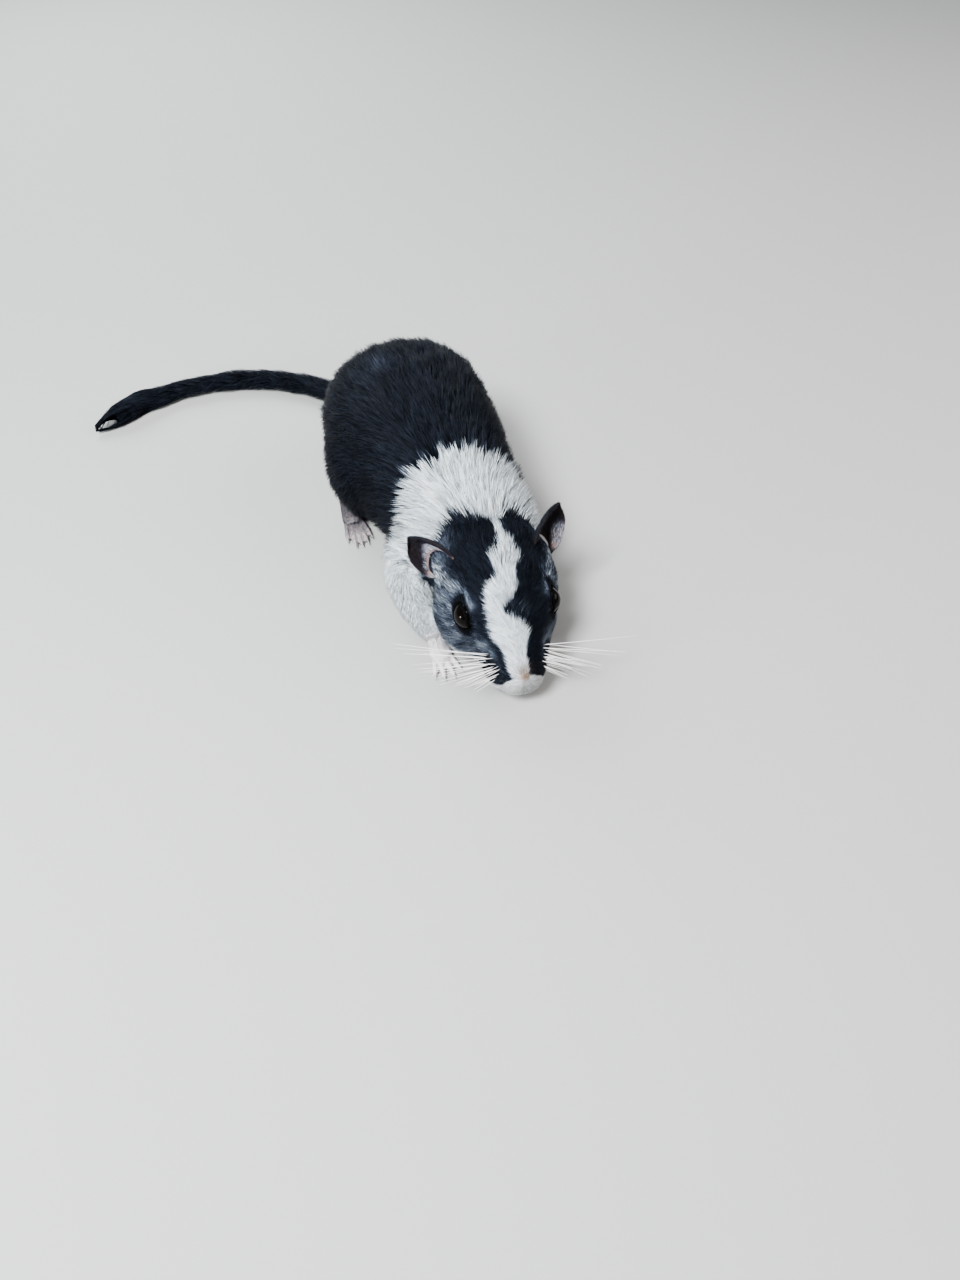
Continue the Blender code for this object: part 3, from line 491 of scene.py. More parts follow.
# Below this height, by how far back, the lips and jaw are white
JAW_LINE = ((-1, -0.4, 0.1, 0.8, 2, 4, 6, 8.6, 11, 14, 17, 20, 34),
            (3.5, 2.0, -2.6, -3.5, -3.6, -3.7, -4.0, -4.4, -4.9, -6.0, -7.8, -9.6, -9.6))
# The grey of the cheek starts this far across, by how far back
CHEEK_EDGE = ((3, 4.8, 6.5, 9, 12, 15, 18, 25, 31), (4.6, 4.7, 5.3, 6.4, 7.9, 8.8, 8.3, 8.6, 10.4))
# A pale band over the eye, from behind it to the snout: across, back, up
BROW_BAND = np.array(((12.8, 26.0, 4.4), (11.3, 23.2, 6.0), (10.4, 20.1, 6.9), (9.4, 16.4, 7.3)))


def blob(across, back, up, centre, size):
    """1 in the middle of an egg-shaped patch, falling to 0 outside it."""
    far = (((across - centre[0]) / size[0]) ** 2 + ((back - centre[1]) / size[1]) ** 2
           + ((up - centre[2]) / size[2]) ** 2)
    return np.exp(-far)


# %% [markdown]
# A tone runs from 0, black, to 1, white. Next to it goes a scatter, which says how far single
# tufts stray from it: little in the cap and the blaze, much in the salted cheeks.

# %% Round the eye
LID_WAY = unit(np.array((0.0, -0.94, -0.34)) @ HEAD)
EYE_WAYS = {side: unit(np.array((sign * 0.88, -0.30, 0.36)) @ HEAD) for side, sign in SIDES.items()}


def dark_round_eye(points):
    """1 on the black rim and at both corners of the eye, 0 further off."""
    dark = np.zeros(len(points))
    for side, way in EYE_WAYS.items():
        long_way = unit(LID_WAY - way * (LID_WAY @ way))
        off = (points - EYES[side]) / MM
        far = np.hypot(off @ long_way / 5.3, off @ np.cross(way, long_way) / 3.5)
        near = ramp(8.0 - np.linalg.norm(off, axis=1), 0, 1)
        dark = np.maximum(dark, ramp(1.12 - far, 0, 0.2) * near * (off @ way > 0))
    return dark


# %% Tone of the head


def head_tone(points):
    """Tone, scatter and the share of head colouring for each point."""
    shift = ripple(points, 0.0030, 11) * 0.22 * MM
    across, back, up = read_head(points + shift[:, None] * ACROSS)
    side = np.abs(across)
    tone, scatter = np.full(len(points), 0.035), np.full(len(points), 0.05)
    edge = np.interp(back, *CHEEK_EDGE)
    cheek = ramp(side - edge, -0.5, 1.3) * ramp(7.5 - up, 0, 3.0) * ramp(34 - back, 0, 7)
    streak = ramp(ripple(points, 0.0042, 12), -0.7, 0.7)
    tone = tone + cheek * (0.17 + 0.20 * streak)
    scatter = scatter + 0.12 * cheek
    folded = np.stack((side, back, up), -1)
    band = np.min([np.linalg.norm(folded - p, axis=1) for p in fine_line(BROW_BAND, 18)], axis=0)
    brow = np.exp(-((band / 1.5) ** 2))
    nape = blob(side, back, up, (13.2, 35.6, 6.4), (3.6, 3.4, 3.6))
    snout = blob(side, back, up, (6.2, 9.5, 2.0), (1.8, 4.0, 2.2))
    brow = brow * (0.15 + 0.85 * ramp(back, 13.5, 18.0))
    # The pale band is 0.62 on the right; on the left it is held at 0.34, a painted shade, since that side is
    # turned from the light.
    tone = np.maximum(tone, np.where(across < 0, 0.62, 0.34) * brow)
    hollow = blob(side, back, up, (14.4, 30.4, 2.4), (2.2, 3.6, 2.6))
    tone = tone + 0.32 * nape + 0.10 * snout + 0.46 * hollow
    notch = blob(across, back, up, (1.8, 13.2, 7.6), (3.0, 2.6, 4.0))
    scatter = scatter + 0.10 * brow + 0.08 * nape + 0.22 * hollow + 0.24 * notch
    pad = ramp(side, 3.0, 4.2) * ramp(8.6 - back, 0, 1.8) * ramp(1.6 - up, 0, 1.2)
    tone = tone * (1 - 0.85 * pad) + 0.05 * 0.85 * pad
    scatter = scatter * (1 - pad) + 0.12 * pad
    jaw = ramp(np.interp(back, *JAW_LINE) - up, -0.45, 0.45)
    blaze = ramp(across - np.interp(back, *BLAZE_EDGE["right"]), -0.35, 0.35)
    blaze = blaze * ramp(np.interp(back, *BLAZE_EDGE["left"]) - across, -0.35, 0.35) * ramp(up, -1, 1)
    white = np.maximum(blaze, jaw)
    tone = tone * (1 - white) + 0.95 * white
    scatter = scatter * (1 - white) + 0.05 * white
    dark = dark_round_eye(points)
    tone, scatter = tone * (1 - dark), scatter * (1 - dark)
    rear = np.minimum(np.interp(across, *CAP_REAR), np.interp(up, *CHEEK_REAR))
    return tone, scatter, ramp(rear - back, -0.5, 0.5) * ramp(np.interp(up, *CHEEK_SIDE) - side, -0.4, 0.4)


# %% [markdown]
# Behind the cap comes the collar. Its rear edge is a slanting line over the shoulders: highest at
# the spine, and further forward low on the flank, where the black side meets the white chest.

# %% Tone of the whole coat
SPINE_EDGE, FLANK_EDGE = -7.0, 0.42


def coat_tone(points, kinds):
    """Tone and scatter for each point of the coat."""
    tone, scatter, on_head = head_tone(points)
    x, y, z = (points + ripple(points, 0.005, 13)[:, None] * 0.6 * MM).T / MM
    edge = SPINE_EDGE - FLANK_EDGE * np.maximum(0, 30 - z) - 0.28 * np.maximum(0, x - 3)
    collar = ramp(edge - y, -0.8, 0.8)
    body = 0.96 * collar + 0.03 * (1 - collar)
    # A paler spot high on the right of the back: a painted highlight of sheen on the black fur.
    body = body + 0.22 * (1 - collar) * np.exp(-(reach(points, (-0.0088, 0.0264, 0.042)) / 3.0) ** 2)
    # 1 on the forelegs, which are white, and -1 on the thighs and tail, which are black
    leg = chosen(kinds, foreleg=1.0, tail=-1.0, thigh=-1.0)
    body = np.where(leg > 0, 0.96, np.where(leg < 0, 0.03, body))
    tone = np.where(leg < 0, body, tone * on_head + body * (1 - on_head))
    scatter = np.where(leg < 0, 0.06, scatter * on_head + 0.06 * (1 - on_head))
    return tone, scatter


TONES = (0.0, 0.2, 0.45, 0.7, 1.0)
REDS = (0.0045, 0.026, 0.125, 0.40, 0.83)
GREENS = (0.0056, 0.032, 0.145, 0.44, 0.87)
BLUES = (0.0095, 0.048, 0.185, 0.49, 0.90)


def colour_of(tone):
    """The colour of hair of each tone, from black through slate and grey to white. The blue in the black and
    the coolness of the white are a painted tint of cool light on the fur.
    """
    return np.stack([np.interp(tone, TONES, row) for row in (REDS, GREENS, BLUES)], -1)


def stained(points, colour):
    """A brownish stain round the nose, and a warm tinge where the muzzle's hair is thin."""
    across, back, up = read_head(points)
    stain = blob(across, back, up, (-0.1, 0.5, 1.9), (1.5, 1.5, 1.3))[:, None]
    tinge = blob(across, back, up, (0, 1.5, -3.0), (5.5, 4.0, 3.0))[:, None]
    colour = colour * (1 - 0.75 * stain) + np.array((0.20, 0.115, 0.06)) * 0.75 * stain
    return colour * (1 - tinge * np.array((0.02, 0.10, 0.14)))


# %% [markdown]
# ## Folds and lips
# A short-furred muzzle shows the split of the upper lip and the line of the mouth. Both are shallow
# grooves in the skin, made by sinking the points near a line.

# %% Sink the mouth line
MOUTH = [at_head(6.2 * math.sin(t), 8.6 - 8.2 * math.cos(t) ** 1.5 if math.cos(t) > 0 else 8.6,
                 -6.0 + 0.6 * math.sin(t) ** 2) for t in np.linspace(-1.45, 1.45, 40)]
CLEFT = [at_head(0, -2.4 + 0.1 * n, -0.8 - 0.5 * n) for n in range(10)]


def sink_along(points, normals, line, depth, width):
    """Points near a line move in, most of all on the line itself."""
    gap = np.min([np.linalg.norm(points - p, axis=1) for p in line], axis=0)
    return points - normals * (depth * np.exp(-((gap / width) ** 2)))[:, None]


normals = numbers(skin.data.vertex_normals, "vector", 3)
for line, depth, width in ((MOUTH, 0.00045, 0.0007), (CLEFT, 0.00035, 0.0006)):
    skin_points = sink_along(skin_points, normals, line, depth, width)
move_points(skin, skin_points)
print("mouth line and lip cleft sunk")

# %% Colour and finish of the skin
# The skin takes the coat's colour above it, darkened by UNDERFUR_SHADE: painted shade in the gaps between
# the tufts.
UNDERFUR_SHADE, BARE_PINK = 0.46, np.array((0.42, 0.24, 0.20))
tone = coat_tone(skin_points, skin_kinds)[0]
base = stained(skin_points, colour_of(tone)) * UNDERFUR_SHADE
base = base * 0.8 + BARE_PINK * 0.2 * tone[:, None] ** 3


def store_colour(mesh, layer, colour):
    """Puts one colour on each vertex."""
    kept = mesh.color_attributes.new(layer, "FLOAT_COLOR", "POINT")
    full = np.ones((len(colour), 4), np.float32)
    full[:, :3] = colour
    kept.data.foreach_set("color", full.ravel())


def wear(made, material):
    """Gives an object one finish."""
    made.data.materials.clear()
    made.data.materials.append(material)


store_colour(skin.data, "underfur", base)
skin_finish, skin_shader = finish("underfur", (0.1, 0.1, 0.1), 0.8, Specular_IOR_Level=0.06)
tint_from_mesh(skin_finish, skin_shader, "underfur", 2600, 0.55)
add_bump(skin_finish, skin_shader, 1500, 0.5, 0.0004, (1.0, 0.3, 1.0))
wear(skin, skin_finish)
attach(skin, "root")
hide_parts(*FLESH)
print("skin coloured")

# %% [markdown]
# ## An unwrap of the skin
# Each tuft has to know where on the skin it stands when its colours are later painted into an
# image. Blender's own projection cuts the skin into flat islands, and a tuft takes a tiny patch
# of the map at its root.

# %% Unwrap
MAP = "OFBake"


def unwrapped(made):
    bpy.context.view_layer.objects.active = made
    for other in bpy.context.selected_objects:
        other.select_set(False)
    made.select_set(True)
    for layer in list(made.data.uv_layers):
        made.data.uv_layers.remove(layer)
    made.data.uv_layers.new(name=MAP)
    bpy.ops.object.mode_set(mode="EDIT")
    bpy.ops.mesh.select_all(action="SELECT")
    bpy.ops.uv.smart_project(angle_limit=1.15, island_margin=0.002)
    bpy.ops.object.mode_set(mode="OBJECT")
    made.select_set(False)


unwrapped(skin)
print("map laid out for", len(skin.data.loops), "corners")

# %% [markdown]
# ## The ground that tufts grow from
# For a whole mesh this gathers all that the growing needs: points, normals, triangles with their
# areas and map corners, and a search tree that finds the nearest place on the surface.

# %% Gather the ground


def ground_of(made):
    """A dictionary of arrays that describes a surface for the tufts."""
    mesh = made.data
    mesh.calc_loop_triangles()
    points = numbers(mesh.vertices, "co", 3)
    faces = numbers(mesh.loop_triangles, "vertices", 3, np.int32)
    corners = numbers(mesh.loop_triangles, "loops", 3, np.int32)
    spots = numbers(mesh.uv_layers[MAP].uv, "vector", 2)[corners]
    normals = numbers(mesh.vertex_normals, "vector", 3)
    a, b, c = (points[faces[:, n]] for n in range(3))
    return {
        "points": points, "faces": faces, "map": spots, "normals": normals,
        "edges": numbers(mesh.edges, "vertices", 2, np.int32),
        "area": np.linalg.norm(np.cross(b - a, c - a), axis=1) / 2 / MM**2,
        "face_normals": unit(normals[faces].sum(1)), "centres": (a + b + c) / 3,
        "find": BVHTree.FromPolygons(points.tolist(), faces.tolist(), all_triangles=True).find_nearest,
    }


ground = ground_of(skin)
print("skin area in square mm:", round(ground["area"].sum()))

# %% [markdown]
# ## The lie of the coat
# Hair doesn't stand straight out. It lies back from the nose, parts round the eye, runs over the
# neck and along the back, and down the flanks and legs. This gives each point of the skin a
# direction, and evens the directions out so that no seam shows where one part meets the next.

# %% Direction of the hair
HALF_BODY = 0.020


def hair_lie(points, normals, kinds):
    """A unit vector in the surface for each point."""
    across, back, up = read_head(points)
    from_nose = unit(points - at_head(0, -5.0, 1.5))
    down_cheek = -0.45 * ramp(np.abs(across), 7, 14)[:, None] * UP
    parting = np.interp(back, [0, 4, 8, 14, 20, 26, 34], [0.3, 0.6, 0.85, 0.85, 0.55, 0.25, 0.12])
    parting = (parting * np.tanh(across / 2.5) * ramp(11 - np.abs(across), 0, 5))[:, None] * ACROSS
    head = from_nose * ramp(26 - back, 0, 20)[:, None] + BACK * ramp(back, 6, 26)[:, None]
    head = head + down_cheek + parting
    for side in SIDES:
        away = points - EYES[side]
        head = head + unit(away) * 0.9 * np.exp(-(reach(points, EYES[side]) / 5.5) ** 4)[:, None]
    sideways = points[:, :1] / HALF_BODY
    down = np.array((0, 0, -1.0))
    spread = np.concatenate((sideways, np.zeros((len(points), 2))), 1)
    body = np.array((0, 1.0, 0)) + 0.55 * np.abs(sideways) * down + 0.1 * spread
    neck = np.array((0, 0.8, 0)) + 0.75 * np.abs(sideways) * down + 0.7 * spread
    rump = ramp(points[:, 1], 0.038, 0.052)[:, None]
    body = body * (1 - rump) + unit(TAIL_LINE[1] - points) * rump * 1.5
    fore = np.array((0, -0.75, -0.65)) * ramp(0.022 - points[:, 2], 0, 0.012)[:, None] + 0.4 * down
    thigh = np.full_like(points, (0, 0.55, -0.8))
    tail = along_tail(points, kinds)[0]
    lie = np.zeros_like(points)
    for kind, way in (("head", head), ("neck", neck), ("torso", body), ("thigh", thigh), ("foreleg", fore),
                      ("tail", tail)):
        mine = kinds == KINDS.index(kind)
        lie[mine] = unit(way[mine])
    return flattened(lie, normals)


lie = hair_lie(ground["points"], ground["normals"], skin_kinds)
ground["lie"] = flattened(evened(lie, ground["edges"], 30), ground["normals"])
print("hair direction laid")

# %% [markdown]
# ## Length, width and thickness of growth
# Tufts are finest and closest on the face. The collar is the fluffiest place, and the back has long,
# sleek hair. The underside, which rests on the floor, gets fewer tufts.

# %% Size of the tufts


def tuft_sizes(points, normals, kinds):
    """Length, width and depth in millimetres, and tufts to the square millimetre."""
    across, back, up = read_head(points)
    along = points[:, 1] / MM
    head_length = np.interp(back, [-1, 3, 8, 14, 22, 30, 42], [1.3, 1.8, 2.3, 3.0, 3.6, 4.8, 6.4])
    leg_length = np.interp(along, [-36, -30, -20, -12], [2.5, 2.9, 3.8, 5.5])
    tail_share = along_tail(points, kinds)[1]
    tail_length = np.interp(tail_share, [0, 0.15, 0.6, 0.85, 1], [6.0, 3.8, 4.0, 6.5, 8.0])
    length = chosen(kinds, head=head_length, neck=8.0, torso=7.4, thigh=5.8, foreleg=leg_length,
                    tail=tail_length)
    head_width = np.interp(back, [0, 10, 18, 30, 40], [0.10, 0.12, 0.135, 0.16, 0.19])
    width = chosen(kinds, head=head_width, neck=0.20, torso=0.20, thigh=0.19, foreleg=0.14, tail=0.18)
    head_thick = np.interp(back, [10, 17, 24, 40], [26.0, 24.0, 14.0, 12.0])
    thick = chosen(kinds, head=head_thick, neck=10.0, torso=7.0, thigh=6.6, foreleg=12.0, tail=6.5)
    depth = coat_depth(points, kinds)
    eye, ear, _ = nearness(points)
    length = length * (0.42 + 0.58 * eye) * (0.5 + 0.5 * ear)
    under = ramp(-normals[:, 2], 0.25, 0.8)
    return length, width, depth, thick * (1 - 0.65 * under)


for name, values in zip(("length", "width", "depth", "thick"),
                        tuft_sizes(ground["points"], ground["normals"], skin_kinds)):
    ground[name] = evened(values, ground["edges"], 12)
    print(name, round(ground[name].min(), 2), round(ground[name].max(), 2))
ground["kind"] = skin_kinds

# %% [markdown]
# ## One tuft
# A tuft is a thin closed spike of three sides: a root under the skin, up to two more rings, and a
# point. Three sides are enough, because at arm's length a tuft is no wider than a thread. Short
# hair of the face stays straight, so it needs the root ring alone. The template lists a tuft's
# triangles once, and every tuft of a piece repeats it.

# %% Template


def template(rings):
    """The triangles of one tuft, and the place of each corner on its patch of the map."""
    faces, patch = [(0, 2, 1)], [(0, 0), (2, 0), (1, 0)]
    for ring in range(rings - 1):
        for side in range(3):
            a, b = 3 * ring + side, 3 * ring + (side + 1) % 3
            faces += [(a, b, b + 3), (a, b + 3, a + 3)]
            patch += [(side, ring), (side + 1, ring), (side + 1, ring + 1)]
            patch += [(side, ring), (side + 1, ring + 1), (side, ring + 1)]
    last = 3 * (rings - 1)
    for side in range(3):
        faces.append((last + side, last + (side + 1) % 3, last + 3))
        patch += [(side, rings - 1), (side + 1, rings - 1), (side + 0.5, rings)]
    patch = np.array(patch, float) * (0.001, 0.003 / rings)
    patch[:3, 1] += (0.0, 0.0, 0.0004)
    return np.array(faces), patch - patch.mean(0)


print("triangles in a tuft by its rings:", [len(template(rings)[0]) for rings in (1, 2, 3)])

# %% [markdown]
# ## Growing
# Roots are scattered over the chosen triangles, more where the growth is thick. From its root a
# tuft creeps along the skin, one step per ring, and each step asks the search tree where the
# surface is, so that it follows every curve of the body. Its height above the skin rises from
# nothing to the coat's depth. Tufts near each other are drawn together a little at the tips, as
# the hairs of a clean dry coat are.

# %% Scatter and creep


def scattered(ground, chosen_faces, rng):
    """Root triangles and corner shares, evenly spread by area."""
    weight = ground["area"] * ground["thick"][ground["faces"]].mean(1) * chosen_faces
    total = np.cumsum(weight)
    count = int(total[-1])
    spots = (np.arange(count) + rng.random(count)) / count * total[-1]
    face = np.searchsorted(total, spots).clip(0, len(total) - 1)
    one, two = rng.random(count), rng.random(count)
    over = one + two > 1
    one[over], two[over] = 1 - one[over], 1 - two[over]
    return face, np.stack((1 - one - two, one, two), -1)


def crept(ground, points, ways, step):
    """One step along the surface: the new places and the normals there."""
    found = [ground["find"](p) for p in (points + ways * step[:, None]).tolist()]
    places = np.array([f[0] for f in found])
    return places, ground["face_normals"][np.array([f[2] for f in found])]


def families(roots, size, rng):
    """For each tuft, the number of the family of neighbours that it belongs to."""
    count = max(4, int(len(roots) / size))
    tree = KDTree(count)
    for n, seed in enumerate(roots[rng.choice(len(roots), count, replace=False)].tolist()):
        tree.insert(seed, n)
    tree.balance()
    return np.array([tree.find(p)[1] for p in roots.tolist()])


def drawn_together(family, tips):
    """For each tuft, how far the middle of its family's tips is from its own."""
    size = np.maximum(np.bincount(family), 1)
    centre = np.stack([np.bincount(family, tips[:, n]) / size for n in range(3)], -1)
    return centre[family] - tips


# %% [markdown]
# The tone of a tuft is read a little beyond its root, at the place that hairs from there reach on
# average. Longer and stray ones cross the edge of a patch, which gives it the flame-like fringe
# that real markings have.

# %% Grow a piece of coat
RING_WIDTHS = {1: (1.0,), 2: (0.85, 0.9), 3: (0.75, 1.0, 0.72)}
ROOT_SINK, LOWEST = 0.00012, 0.00004
# In each style, root is the share of a pale tuft's colour that it keeps at its root: a painted shade low in
# the coat.
FACE = dict(rings=1, lift=1.2, clump=0.30, size=6, wander=0.24, sweep=1.2, reach_share=0.35, root=0.60)
CROWN = dict(rings=2, lift=1.2, clump=0.50, size=8, wander=0.22, sweep=1.4, reach_share=0.45, root=0.55)
COLLAR = dict(rings=3, lift=1.25, clump=0.85, size=14, wander=0.20, sweep=1.05, reach_share=0.5, root=0.36)
SLEEK = dict(rings=2, lift=1.22, clump=0.36, size=9, wander=0.22, sweep=1.6, reach_share=0.55, root=0.50)
SHORT = dict(rings=2, lift=1.2, clump=0.45, size=8, wander=0.22, sweep=1.3, reach_share=0.5, root=0.54)
coat_total = 0


def grow(name, ground, chosen_faces, seed, tone_of, style, tint=None):
    """A piece of coat over the chosen triangles."""
    global coat_total
    rng = np.random.default_rng(seed)
    rings = style["rings"]
    face, share = scattered(ground, chosen_faces, rng)
    verts = ground["faces"][face]

    def at_root(values):
        picked = values[verts]
        return (picked * (share if picked.ndim == 2 else share[:, :, None])).sum(1)

    root, normal = at_root(ground["points"]), unit(at_root(ground["normals"]))
    length, width, depth = (at_root(ground[k]) * MM for k in ("length", "width", "depth"))
    count = len(root)
    guide = at_root(ground["lie"])
    tone_place = root + guide * (style["reach_share"] * length)[:, None]
    tone, scatter = tone_of(tone_place, ground["kind"][verts[:, 0]])

    bend = style["wander"] * (ripple(root, 0.007, seed % 7) * 0.9 + rng.normal(0, 0.7, count))
    way = flattened(guide + np.cross(guide, normal) * bend[:, None], normal)
    length = length * rng.uniform(0.70, 1.15, count)
    rise = style["lift"] * depth * rng.uniform(0.55, 1.05, count) * (1 + 0.12 * ripple(root, 0.004, 5))
    lines, tops = [root], [normal]
    for _ in range(rings):
        place, top = crept(ground, lines[-1], way, length / rings)
        way = flattened(place - lines[-1], top)
        lines.append(place)
        tops.append(top)
    family = families(root, style["size"], rng)
    pull = drawn_together(family, lines[-1]) * style["clump"]

    shade = np.exp(rng.normal(0, 0.13, family.max() + 1))[family] * np.exp(rng.normal(0, 0.12, count))
    mixed = np.clip(tone + scatter * rng.normal(0, 1, count), 0, 1)
    hue = np.minimum(colour_of(mixed) * shade[:, None], 0.92)
    hue = stained(tone_place, hue) if tint is None else hue * tint
    roll = rng.uniform(-0.5, 0.5, count)[:, None]
    body = np.empty((count, rings * 3 + 1, 3))
    colour = np.empty((count, rings * 3 + 1, 3))
    for ring in range(rings + 1):
        t = ring / rings
        height = rise * (1 - (1 - t) ** style["sweep"]) - ROOT_SINK * (ring == 0)
        centre = lines[ring] + tops[ring] * height[:, None] + pull * t**1.5
        # Painted shade and sheen along each tuft: a pale tuft darkens to its style's root share at the root,
        # and a dark one is darker at the root and lighter at the tip, a painted sheen.
        lit = np.where(mixed > 0.5, style["root"] + (1.04 - style["root"]) * t, 0.55 + 0.75 * t)[:, None]
        if ring == rings:
            body[:, -1], colour[:, -1] = centre, hue * lit
            continue
        ahead = unit(lines[min(ring + 1, rings)] - lines[max(ring - 1, 0)])
        across = unit(np.cross(ahead, tops[ring]) + tops[ring] * roll)
        above = unit(np.cross(across, ahead))
        half = (width / 2 * RING_WIDTHS[rings][ring])[:, None]
        body[:, ring * 3] = centre - across * half
        body[:, ring * 3 + 1] = centre + above * half * 0.9
        body[:, ring * 3 + 2] = centre + across * half
        colour[:, ring * 3:ring * 3 + 3] = (hue * lit)[:, None]
    body[:, :, 2] = np.maximum(body[:, :, 2], LOWEST)
    faces, patch = template(rings)
    corners = (faces.ravel()[None] + (np.arange(count) * (rings * 3 + 1))[:, None]).ravel()
    spot = (ground["map"][face] * share[:, :, None]).sum(1)
    spots = np.clip(spot, 0.003, 0.997)[:, None] + patch[None]
    made = spiked_mesh(name, body.reshape(-1, 3), corners, spots.reshape(-1, 2), colour.reshape(-1, 3))
    wear(made, coat_finish)
    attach(made, "root")
    coat_total += len(faces) * count
    print(f"{name}: {count} tufts, {len(faces) * count} triangles")
    return made


def spiked_mesh(name, points, corners, spots, colour):
    """One object from flat arrays of triangles."""
    mesh = bpy.data.meshes.new(name)
    mesh.vertices.add(len(points))
    mesh.vertices.foreach_set("co", points.ravel())
    mesh.loops.add(len(corners))
    mesh.loops.foreach_set("vertex_index", corners.astype(np.int32))
    mesh.polygons.add(len(corners) // 3)
    mesh.polygons.foreach_set("loop_start", np.arange(0, len(corners), 3, dtype=np.int32))
    mesh.update(calc_edges=True)
    mesh.shade_smooth()
    layer = mesh.uv_layers.new(name=MAP)
    layer.uv.foreach_set("vector", spots.astype(np.float32).ravel())
    store_colour(mesh, "coat", colour)
    return in_scene(name, mesh)


coat_finish, coat_shader = finish("coat_hair", (0.2, 0.2, 0.2), 0.46, Specular_IOR_Level=0.11)
tint_from_mesh(coat_finish, coat_shader, "coat", 1800, 0.8)
print("coat finish ready")

# %% [markdown]
# ## The coat in pieces
# The coat is split where a person would name it: face, crown, collar, back, rump, belly, thighs,
# legs and tail. Each piece has a style of growth: how many rings, how far it stands up, how much
# its tips gather, and how far it strays.

# %% Where each piece grows
centres, face_normals = ground["centres"], ground["face_normals"]
face_kind = skin_kinds[ground["faces"][:, 0]]
across, back, up = read_head(centres)
centre_x, centre_y = centres.T[:2] / MM
bare_eye = to_nearest(centres, EYES) < EYE_RADIUS / MM + 0.25


def of_kind(*names):
    return np.isin(face_kind, [KINDS.index(n) for n in names])


on_head = of_kind("head") & ~bare_eye
torso = of_kind("torso")
under = torso & (face_normals[:, 2] < -0.45)
top = torso & ~under
PIECES = (
    ("coat_face_right", on_head & (back < 17) & (across < 0), FACE),
    ("coat_face_left", on_head & (back < 17) & (across >= 0), FACE),
    ("coat_crown_right", on_head & (back >= 17) & (across < 0), CROWN),
    ("coat_crown_left", on_head & (back >= 17) & (across >= 0), CROWN),
    ("coat_collar_right", of_kind("neck") & (centre_x < 1), COLLAR),
    ("coat_collar_left", of_kind("neck") & (centre_x >= 1), COLLAR),
    ("coat_ruff", top & (centre_y < -3), COLLAR),
    ("coat_shoulders", top & (centre_y >= -3) & (centre_y < 8), SLEEK),
    ("coat_back_right", top & (centre_y >= 8) & (centre_y < 28) & (centre_x < 0), SLEEK),
    ("coat_back_left", top & (centre_y >= 8) & (centre_y < 28) & (centre_x >= 0), SLEEK),
    ("coat_rump", top & (centre_y >= 28), SLEEK),
    ("coat_belly", under, SLEEK),
    ("coat_thighs", of_kind("thigh"), SLEEK),
    ("coat_forelegs", of_kind("foreleg"), SHORT),
    ("coat_tail", of_kind("tail"), SLEEK),
)
for name, mask, _ in PIECES:
    print(name, "covers", round(ground["area"][mask].sum()), "square mm")

# %% Grow them
for number, (name, mask, style) in enumerate(PIECES):
    grow(name, ground, mask, 100 + number, coat_tone, style)
print("coat so far:", coat_total, "triangles")

# %% [markdown]
# ## Eyes
# A gerbil's eye is a large dark bead. Only its front shows between the lids, and it looks out and
# up. The clear front bulges a little, which makes the small bright reflection of the window.

# %% Eyes
eye_finish, eye_shader = finish("wet_black_eye", (0.004, 0.003, 0.003), 0.05, Specular_IOR_Level=0.12)
mottled(eye_finish, eye_shader, 900.0, (0.001, 0.001, 0.001), (0.005, 0.003, 0.0025))


def smooth_object(name, points, faces):
    """An object with a smooth mesh of these points and faces."""
    mesh = bpy.data.meshes.new(name)
    mesh.from_pydata([tuple(p) for p in points], [], faces)
    mesh.shade_smooth()
    return in_scene(name, mesh)


def tube_faces(rows, columns, steps):
    """The faces between rows of points round a tube; as many steps as rows close it to a ring."""
    return [(r * columns + c, r * columns + (c + 1) % columns,
             (r + 1) % rows * columns + (c + 1) % columns, (r + 1) % rows * columns + c)
            for r in range(steps) for c in range(columns)]


def egg(name, rows, columns, place):
    """A closed ball: place(tilt, turn) gives its points, and the tilt runs from pole to pole."""
    points = [place(math.pi * (row + 0.5) / rows, 2 * math.pi * column / columns)
              for row in range(rows) for column in range(columns)]
    faces = tube_faces(rows, columns, rows - 1)
    for row, flip in ((0, True), (rows - 1, False)):
        ring = [row * columns + c for c in range(columns)]
        points.append(np.mean([points[i] for i in ring], axis=0))
        for c in range(columns):
            a, b = ring[c], ring[(c + 1) % columns]
            faces.append((b, a, len(points) - 1) if flip else (a, b, len(points) - 1))
    return smooth_object(name, points, faces)


def basis(way, hint):
    """Two directions square to a way, the first as near as possible to the hint."""
    first = unit(hint - way * (hint @ way))
    return first, np.cross(way, first)


def eyeball(side):
    way = EYE_WAYS[side]
    one, two = basis(way, -BACK)

    def place(tilt, turn):
        bulge = 1 + 0.035 * float(ramp(math.cos(tilt), 0.75, 1.0))
        return EYES[side] + EYE_RADIUS * bulge * (
            way * math.cos(tilt) + (one * math.cos(turn) + two * math.sin(turn)) * math.sin(tilt))

    made = egg("eyeball_" + side, 40, 48, place)
    wear(made, eye_finish)
    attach(made, "root")
    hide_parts("eye_" + side)
    return made


for side in SIDES:
    eyeball(side)
print("two eyes set")

# %% [markdown]
# ## Eyelids
# The lids are two soft black rims that meet in a point in front of and behind the eye. Each is a
# thin roll that follows an almond line on the ball, a little thicker above.

# %% Lids
rim_finish, rim_shader = finish("black_rim_skin", (0.003, 0.003, 0.003), 0.6, Specular_IOR_Level=0.02)
add_bump(rim_finish, rim_shader, 5000, 0.25, 0.0001)
LID_ROWS, LID_COLUMNS = 64, 12
# Half the almond's length and height, and the half thickness of the roll below and its rise above
LID_LENGTH, LID_HEIGHT, LID_THICK, LID_RISE = 3.45 * MM, 2.45 * MM, 0.30, 0.04


